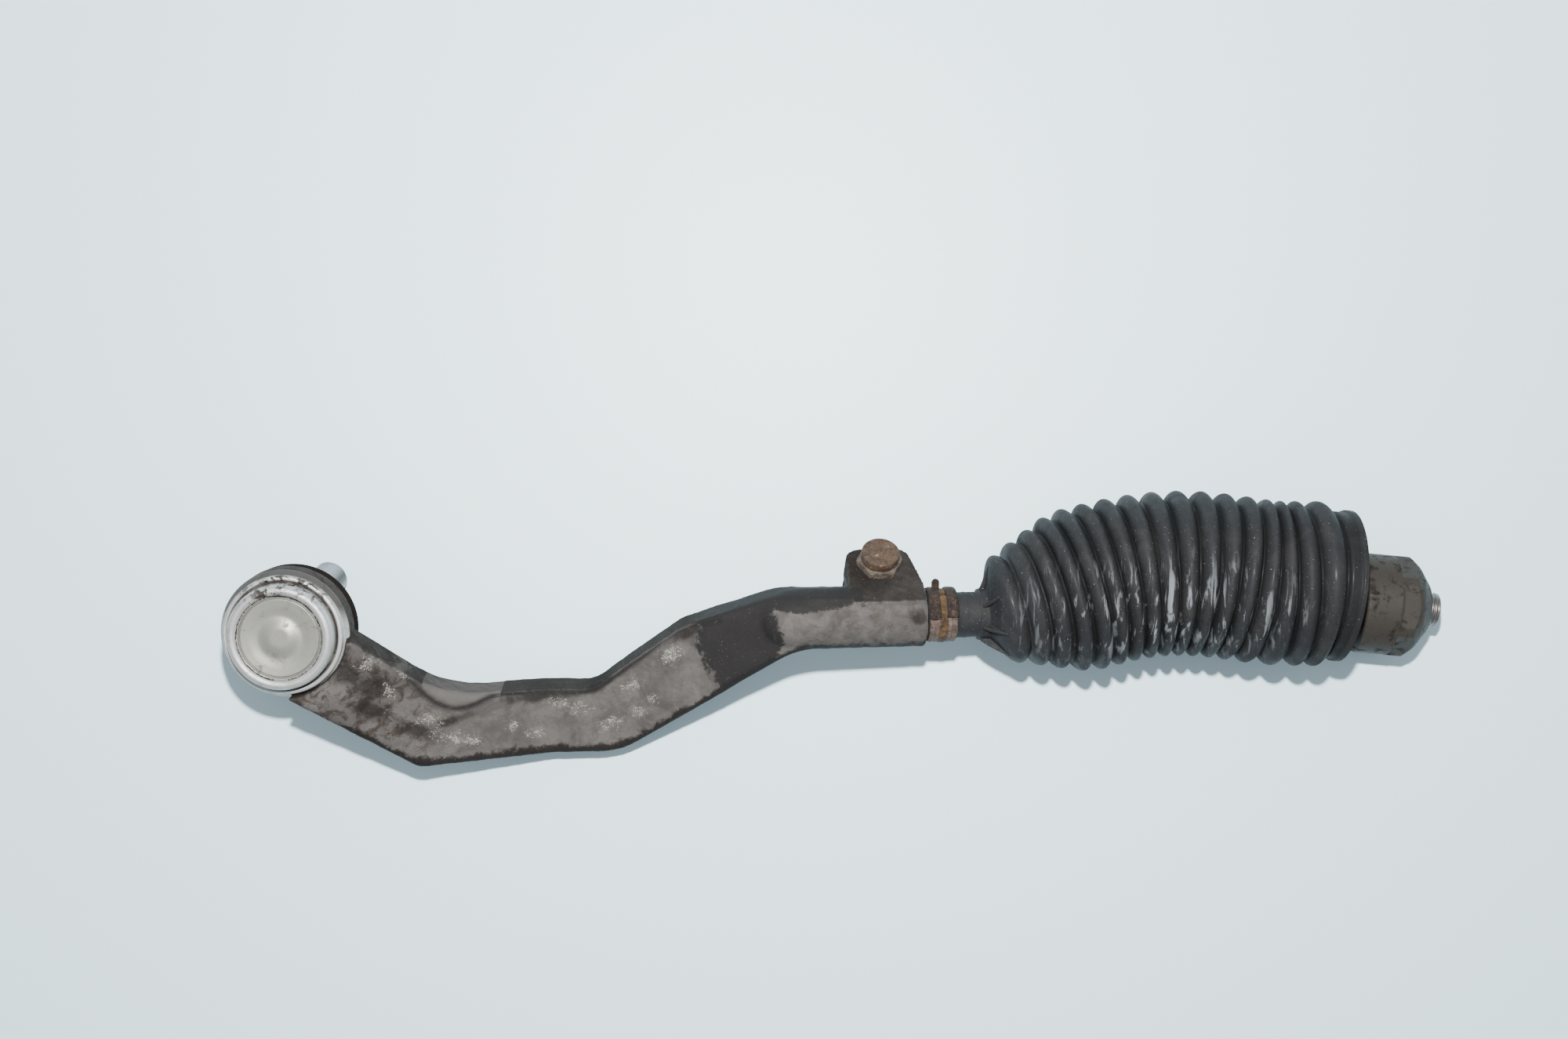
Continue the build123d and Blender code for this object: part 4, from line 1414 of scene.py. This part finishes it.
@dataclass
class InnerJoint:
    """Housing of the inner joint with wrench flats and a threaded stub, in millimetres."""

    radius: float = 20.05
    flats: float = 36.5
    flats_start: float = 3.0
    nose: float = 17.4
    nose_radius: float = 11.0
    stub: float = 6.7
    stub_length: float = 5.0
    pitch: float = 1.5

    def build(self) -> None:
        """Make the housing and its stub.

        Ahead of the wrench start the radius is the smaller of the turned profile and a hexagon.
        The stub's radius waves by one thread pitch and climbs by one pitch each turn.
        """
        corners = [
            (-9.3, 10.7), (-13.95, 13.15), (-14.0, 13.7), (-13.6, 15.4), (-11.4, 18.9), (-10.0, 20.0),
            (2.2, self.radius), (2.9, self.radius), (3.1, self.radius), (9.0, self.radius), (12.6, 16.9),
            (self.nose - 0.6, self.nose_radius), (self.nose, self.nose_radius - 0.8), (self.nose, 6.2),
        ]
        profile = np.array(MeshMaker.rounded(corners, 0.5, 4))
        fine, coarse = np.linspace(0, len(profile) - 1, 150), np.arange(len(profile))
        stations, radii = (np.interp(fine, coarse, values) for values in profile.T)
        station, angle = crossed(stations, turns(240))
        hexagon = self.flats / 2 / np.cos((angle + np.pi / 6) % (np.pi / 3) - np.pi / 6)
        flat = smoothstep(station, self.flats_start - 0.2, self.flats_start + 0.2)
        radius = radii[:, None] * (1 - flat) + np.minimum(radii[:, None], hexagon) * flat
        housing = MeshMaker.surface("inner_housing_turned", LAYOUT.housing.ring(station, radius, angle))
        dress(housing, GREASED, "housing_steel", "inner_joint_housing", body=Body.INNER_HOUSING)
        tip = self.nose + self.stub_length
        station, angle = crossed(np.linspace(self.nose - 0.4, tip, 70), turns(72))
        wave = 0.42 * (0.5 + 0.5 * np.cos(2 * np.pi * (station / self.pitch + angle / (2 * np.pi))))
        taper = 0.9 * smoothstep(station, tip - 0.9, tip)
        points = LAYOUT.housing.ring(station, self.stub - wave - taper, angle)
        stub = MeshMaker.surface("rack_stub_thread", points, caps=True)
        dress(stub, STUB, "housing_steel", body=Body.INNER_HOUSING)


@dataclass
class Bellows:
    """Rubber bellows along a bowed centre line, in millimetres."""

    cuff_radius: float = 8.9
    folds: int = 17
    pitch: float = 7.73
    depth: float = 6.2
    first_crest: float = 21.9
    growth: float = 3.1
    full_crest: float = 32.6
    cone: float = 10.8
    mouth: float = 29.0
    mouth_length: float = 8.2
    bead: float = 29.9
    wall: float = 1.9
    bore: float = 7.15
    web: float = 1.3
    bow: tuple[Point, ...] = (
        (-152.2, -1.1, 16.4), (-131.5, 4.4, 14.4), (-108.5, 10.2, 12.9), (-84.3, 12.9, 12.8),
        (-62.3, 11.2, 12.7), (-46.2, 9.1, 12.7), (-29.0, 8.7, 12.6), (-17.6, 7.7, 11.6),
    )
    samples: int = 4000
    _centre: Grid = field(default_factory=lambda: np.zeros((0, 3)))
    _length: Grid = field(default_factory=lambda: np.zeros(0))

    @property
    def last(self) -> float:
        """Distance at which the last fold ends and the mouth begins."""
        return self.cone + (self.folds - 0.5) * self.pitch

    def lay_centre_line(self) -> None:
        """Work out the centre line.

        It is a cubic curve through the named points with the rod's direction at its start and
        the mouth's at its end: in each stretch a Hermite cubic, whose inner slopes make the
        second derivative even.
        """
        rod = LAYOUT.rod
        points = np.vstack([rod.origin + rod.along * LAYOUT.cuff_end, rod.origin + np.array(self.bow)])
        spans = np.linalg.norm(np.diff(points, axis=0), axis=1)
        knots = np.concatenate([[0.0], np.cumsum(spans)])
        count = len(points)
        matrix, right = np.zeros((count, count)), np.zeros((count, 3))
        matrix[0, 0] = matrix[-1, -1] = 1.0
        right[0], right[-1] = -rod.along, unit((0.99, -0.1, -0.05))
        for place in range(1, count - 1):
            before, after = spans[place - 1], spans[place]
            matrix[place, place - 1:place + 2] = after, 2 * (before + after), before
            right[place] = 3 * (
                after / before * (points[place] - points[place - 1])
                + before / after * (points[place + 1] - points[place])
            )
        slopes = np.linalg.solve(matrix, right)
        at = np.linspace(0, knots[-1], self.samples)
        low = np.clip(np.searchsorted(knots, at, "right") - 1, 0, count - 2)
        width = spans[low][:, None]
        t = ((at - knots[low]) / spans[low])[:, None]
        self._centre = (
            (2 * t**3 - 3 * t**2 + 1) * points[low]
            + (t**3 - 2 * t**2 + t) * width * slopes[low]
            + (3 * t**2 - 2 * t**3) * points[low + 1]
            + (t**3 - t**2) * width * slopes[low + 1]
        )
        steps = np.linalg.norm(np.diff(self._centre, axis=0), axis=1)
        self._length = np.concatenate([[0.0], np.cumsum(steps)])

    def axis_at(self, distance: Grid) -> tuple[Grid, Grid]:
        """Give the centre line's points and directions, straight on before and after its ends.

        Args:
            distance: Distances from the end of the cuff.

        Returns:
            Points and unit directions.
        """
        inside = np.clip(distance, 0, self._length[-1])
        tangent = np.gradient(self._centre, self._length, axis=0)
        point, direction = (
            np.stack([np.interp(inside, self._length, column) for column in values.T], -1)
            for values in (self._centre, tangent)
        )
        direction = unit(direction)
        return point + (distance - inside)[..., None] * direction, direction

    def place(self, distance: Grid, radius: Grid, angle: Grid) -> Grid:
        """Carry rings along the centre line.

        Args:
            distance: Distance from the end of the cuff.
            radius: Distance from the centre line.
            angle: Turn from the upright, in radians.

        Returns:
            Points of the part, in millimetres.
        """
        point, direction = self.axis_at(distance)
        side = unit(np.cross(UP, direction))
        upright = np.cross(direction, side)
        across = np.cos(angle)[..., None] * upright + np.sin(angle)[..., None] * side
        return point + radius[..., None] * across

    def crest(self, distance: Grid) -> tuple[Grid, Grid]:
        """Give the number and radius of the nearest crest: the first few grow, the rest are alike."""
        index = np.clip(np.round((distance - self.cone) / self.pitch), 0, self.folds - 1)
        return index, np.minimum(self.full_crest, self.first_crest + self.growth * index)

    def outline(self, distance: Grid) -> Grid:
        """Give the outer radius along the bellows.

        The cuff is straight, a low step ends it, and the cone rises as a power of a sine to the
        first crest. From there the radius falls from each crest to its valleys as a power of the
        cosine of the phase, which gives round crests and narrow valleys. The mouth is a straight
        collar with a bead.

        Args:
            distance: Distances from the end of the cuff.

        Returns:
            The radii.
        """
        index, ridge = self.crest(distance)
        local = np.clip((distance - self.cone) / self.pitch - index, -0.5, 0.5)
        wave = 1.0 - np.abs(np.cos(np.pi * local)) ** 0.58
        fold = ridge - self.depth * np.minimum(1.0, 0.55 + 0.15 * index) * wave
        share = np.clip((distance - 0.8) / (self.cone - 0.8), 0, 1)
        cone = self.cuff_radius + (self.first_crest - self.cuff_radius) * np.sin(np.pi / 2 * share) ** 1.5
        cone += 1.2 * window(distance, (-1.6, -1.0), (1.2, 2.4))
        radius = np.where(distance < self.cone, cone, fold)
        valley = self.full_crest - self.depth
        collar = valley + (self.mouth - valley) * smoothstep(distance, self.last - 0.6, self.last + 1.6)
        bead = (self.bead - self.mouth) * smoothstep(distance, self.last + 5.2, self.last + 5.9)
        return np.where(distance > self.last, collar + bead, radius)

    def build(self) -> None:
        """Mould the bellows: an outer and an inner skin joined at both ends."""
        self.lay_centre_line()
        end, cuff = self.last + self.mouth_length, LAYOUT.cuff_end - LAYOUT.cuff_start
        distance = np.concatenate([np.linspace(cuff, -2.4, 40)[:-1], np.linspace(-2.4, end, 360)])
        around = turns(160)
        grid, angle = crossed(distance, around)
        radius = self.outline(grid)
        radius += 0.25 * np.exp(-(((grid + 6.6) / 0.35) ** 2)) + 0.35 * smoothstep(-grid, 9.6, 10.0)
        sag = soft_noise(np.stack([grid * 0.25, np.cos(angle) * 12, np.sin(angle) * 12], -1), 14.0, 21)
        radius += 0.18 * sag * smoothstep(grid, 4.0, 20.0)
        outer = self.place(grid, radius, angle)
        # The valley mark carries painted shade, strongest deep in the folds' valleys.
        sunk = smoothstep(self.crest(grid)[1] - radius, 0.25 * self.depth, 0.9 * self.depth)
        deep = sunk * smoothstep(grid, self.cone, self.cone + 1.0)
        grid, angle = crossed(np.linspace(end, 1.1, 150), around)
        inner = self.place(grid, np.maximum(self.outline(grid) - self.wall, self.bore), angle)
        grid, angle = crossed(np.array([1.0, cuff]), around)
        points = np.concatenate([outer, inner, self.place(grid, np.full_like(grid, self.bore), angle)])
        bellows = MeshMaker.surface("bellows_moulded", points, along=Seam.ROUND)
        # The inner skin and the end rings take painted shade at 0.7.
        valley = np.full(points.shape[:2], 0.7)
        valley[: len(distance)] = deep
        write_mark(bellows.data, "valley", valley)
        dress(bellows, BELLOWS_RUBBER, "bellows_rubber", "bellows")
        for number, turn in enumerate((-72.0, -28.0, 20.0, 78.0, 150.0, 210.0)):
            self.build_gusset(number, np.radians(turn))

    def build_gusset(self, number: int, turn: float) -> None:
        """Mould one thin web from the step to the cone.

        It fills the hollow between the cone and the straight line from the top of the step to
        the cone's crest.

        Args:
            number: Number of the web.
            turn: Turn from the upright, in radians.
        """
        share = np.linspace(0.0, 1.0, 24)
        distance = -0.6 + 7.4 * share
        foot = self.outline(distance) - 0.5
        chord = self.cuff_radius + 1.5 + (self.outline(np.array([6.8]))[0] - self.cuff_radius - 1.2) * share
        height = np.maximum(chord, foot + 0.2)
        grid, rise = crossed(distance, np.linspace(0.0, 1.0, 6))
        points = self.place(grid, foot[:, None] + (height - foot)[:, None] * rise, np.full_like(grid, turn))
        web = MeshMaker.surface(f"bellows_gusset_{number + 1}", points, around=Seam.OPEN)
        MeshMaker.thicken(web, self.web)
        dress(web, BELLOWS_RUBBER, "bellows_rubber")


@dataclass
class SpringClip:
    """Rusty spring band on the cuff of the bellows, in millimetres."""

    inner: float = 9.0
    thickness: float = 0.9
    start: float = 0.3
    tang_height: float = 5.0
    tang_half: float = 1.55
    tang_angle: float = 33.0

    def band(self, name: str, low: float, high: float, first: float, last: float, lift: float) -> Piece:
        """Bend one strip round the cuff.

        Across its width the strip is crowned: its radius falls off with the fourth power of
        the place across, and its two short ends are rounded in the same way.

        Args:
            name: Name of the strip.
            low: Distance of its near edge from the start of the band.
            high: Distance of its far edge.
            first: Angle at which it starts, in degrees.
            last: Angle at which it ends.
            lift: Height over the cuff.

        Returns:
            The strip.
        """
        rod = LAYOUT.rod
        along, place = crossed(np.linspace(-1, 1, 120), np.linspace(-1, 1, 14))
        angle = np.radians(first + (last - first) * (along + 1) / 2)
        end_width = np.sqrt(np.clip(1 - np.clip((np.abs(along) - 0.965) / 0.035, 0, 1) ** 2, 0.02, 1))
        middle, half = LAYOUT.cuff_start - self.start - (low + high) / 2, (high - low) / 2
        station = middle + half * end_width * place
        radius = self.inner + lift + self.thickness - 0.45 * np.abs(place) ** 4
        radius += 0.06 * soft_noise(rod.ring(station, np.full_like(station, 10.0), angle), 3.0, 23)
        strip = MeshMaker.surface(name, rod.ring(station, radius, angle), around=Seam.OPEN)
        MeshMaker.thicken(strip, self.thickness)
        return strip

    def build(self) -> None:
        """Make the lower band, the two fingers over it, the tongue and the tang."""
        for name, low, high, first, last, lift, finish, *nodes in (
            ("clip_band_left", 0.3, 2.2, 38.0, 316.0, 0.0, BAND_RUST, "bellows_clip"),
            ("clip_band_middle", 2.3, 3.9, 38.0, 316.0, 0.05, BAND_RUST),
            ("clip_band_right", 7.1, 8.7, 38.0, 316.0, 0.05, BAND_RUST),
            ("clip_band_edge", 8.8, 10.7, 38.0, 316.0, 0.0, BAND_RUST),
            ("clip_finger_left", 0.0, 4.0, -50.0, 56.0, 0.85, CLIP_RUST),
            ("clip_finger_right", 7.0, 11.0, -46.0, 56.0, 0.85, CLIP_RUST),
            ("clip_tongue", 3.9, 7.1, 12.0, 368.0, 0.25, TONGUE_RUST),
        ):
            dress(self.band(name, low, high, first, last, lift), finish, "rusty_clip", *nodes)
        self.build_tang()

    def build_tang(self) -> None:
        """Stand the tang up on the band.

        It is a flat bar whose half-width follows a half circle at the top: the root of one less
        the square of the place past the shoulder.
        """
        rod = LAYOUT.rod
        shoulder = self.tang_height - self.tang_half
        top = shoulder + self.tang_half * np.sin(np.linspace(0, np.pi / 2, 12))
        height = np.concatenate([np.linspace(0.0, shoulder, 12)[:-1], top])[:, None]
        past = np.clip((height - shoulder) / self.tang_half, 0, 1)
        half = self.tang_half * np.sqrt(np.clip(1 - past**2, 0.002, 1))
        circle = np.stack([np.cos(turns(32)), np.sin(turns(32))])
        wide, deep = np.sign(circle) * np.abs(circle) ** 0.6
        angle = np.radians(self.tang_angle)
        outward = rod.side * np.cos(angle) + rod.third * np.sin(angle)
        across = np.cross(rod.along, outward)
        foot = rod.origin + rod.along * (LAYOUT.cuff_start - self.start - 3.4) + outward * (self.inner + 0.8)
        depth = 0.6 * np.sqrt(half / self.tang_half) * deep
        points = foot + height[..., None] * outward + (half * wide)[..., None] * rod.along
        points += depth[..., None] * across
        dress(MeshMaker.surface("clip_tang", points, caps=True), CLIP_RUST, "rusty_clip")


@dataclass
class Studio:
    """Pale table, soft light and the camera.

    Args:
        camera_height: Height of the camera over the table, in millimetres.
        camera_at: Point of the table below the camera, in millimetres.
        lens: Focal length on a 36 mm wide sensor.
        key_shift: Distance of the light from the camera, in millimetres.
        key_size: Width of the light, in metres.
        key_power: Power of the light.
        room: Strength of the room's light near the horizon.
        zenith: How many times stronger it is straight above.
        table: Colour of the table.
    """

    camera_height: float = 860.0
    camera_at: Pair = (-21.66, 43.46)
    lens: float = 48.0
    key_shift: float = 172.0
    key_size: float = 0.035
    key_power: float = 24.0
    room: float = 0.30
    zenith: float = 2.7
    table: Colour = srgb(204, 228, 236)

    def build(self) -> None:
        """Make the table, the lights and the camera."""
        self.build_table()
        self.build_lights()
        self.build_camera()

    def build_table(self) -> None:
        """Lay a large flat table just under the part."""
        side = np.linspace(-2600.0, 2600.0, 3)
        x, y = crossed(side, side)
        table = MeshMaker.surface("table", np.stack([x, y, np.full_like(x, -0.05)], -1), around=Seam.OPEN)
        material = bpy.data.materials.new("table_top")
        material.use_nodes = True
        shader = material.node_tree.nodes["Principled BSDF"]
        Graph(material.node_tree).feed(shader, Base_Color=self.table, Roughness=0.45)
        table.data.materials.append(material)

    def build_lights(self) -> None:
        """Hang one soft light over the table and fill the room."""
        world = bpy.data.worlds.new("room")
        world.use_nodes = True
        graph = Graph(world.node_tree)
        height = graph.add("ShaderNodeSeparateXYZ")
        graph.put(height.inputs[0], graph.add("ShaderNodeTexCoord").outputs["Generated"])
        strength = graph.span(height.outputs["Z"], 0.1, 0.8, self.room, self.room * self.zenith)
        graph.feed(world.node_tree.nodes["Background"], Color=(0.88, 0.95, 1.0), Strength=strength)
        bpy.context.scene.world = world
        data = bpy.data.lights.new("key", "AREA")
        data.shape, data.size, data.energy = "DISK", self.key_size, self.key_power
        x, y = self.camera_at
        MeshMaker.link("key", data).location = Vector((x, y + self.key_shift, self.camera_height)) * MM

    def build_camera(self) -> None:
        """Point the camera straight down at the table."""
        data = bpy.data.cameras.new("camera")
        data.lens, data.sensor_width = self.lens, 36.0
        camera = MeshMaker.link("camera", data)
        camera.location = Vector((*self.camera_at, self.camera_height)) * MM
        bpy.context.scene.camera = camera


def main() -> None:
    """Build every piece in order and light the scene."""
    logging.basicConfig(level=logging.INFO, format="%(name)s %(message)s")
    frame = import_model()
    nodes = frame["nodes"]
    Effects.build()
    ForgedArm(nodes["arm_forging"]).build()
    for assembly in (OuterJoint(), ClampBolt(), InnerJoint(), Bellows(), SpringClip()):
        assembly.build()
    for name, finish in (
        ("outer_bearing_shell", PLASTIC),
        ("dust_boot_clamp_ring", WIRE),
        ("dust_boot_lip_ring", WIRE),
        ("tie_rod_shaft", ROD),
        ("inner_bearing_shell", PLASTIC),
        ("inner_pressure_pad", PLASTIC),
    ):
        coat(nodes[name], finish)
        LOG.info("%s keeps its solid", nodes[name].name)
    Studio().build()


if __name__ == "__main__":
    main()
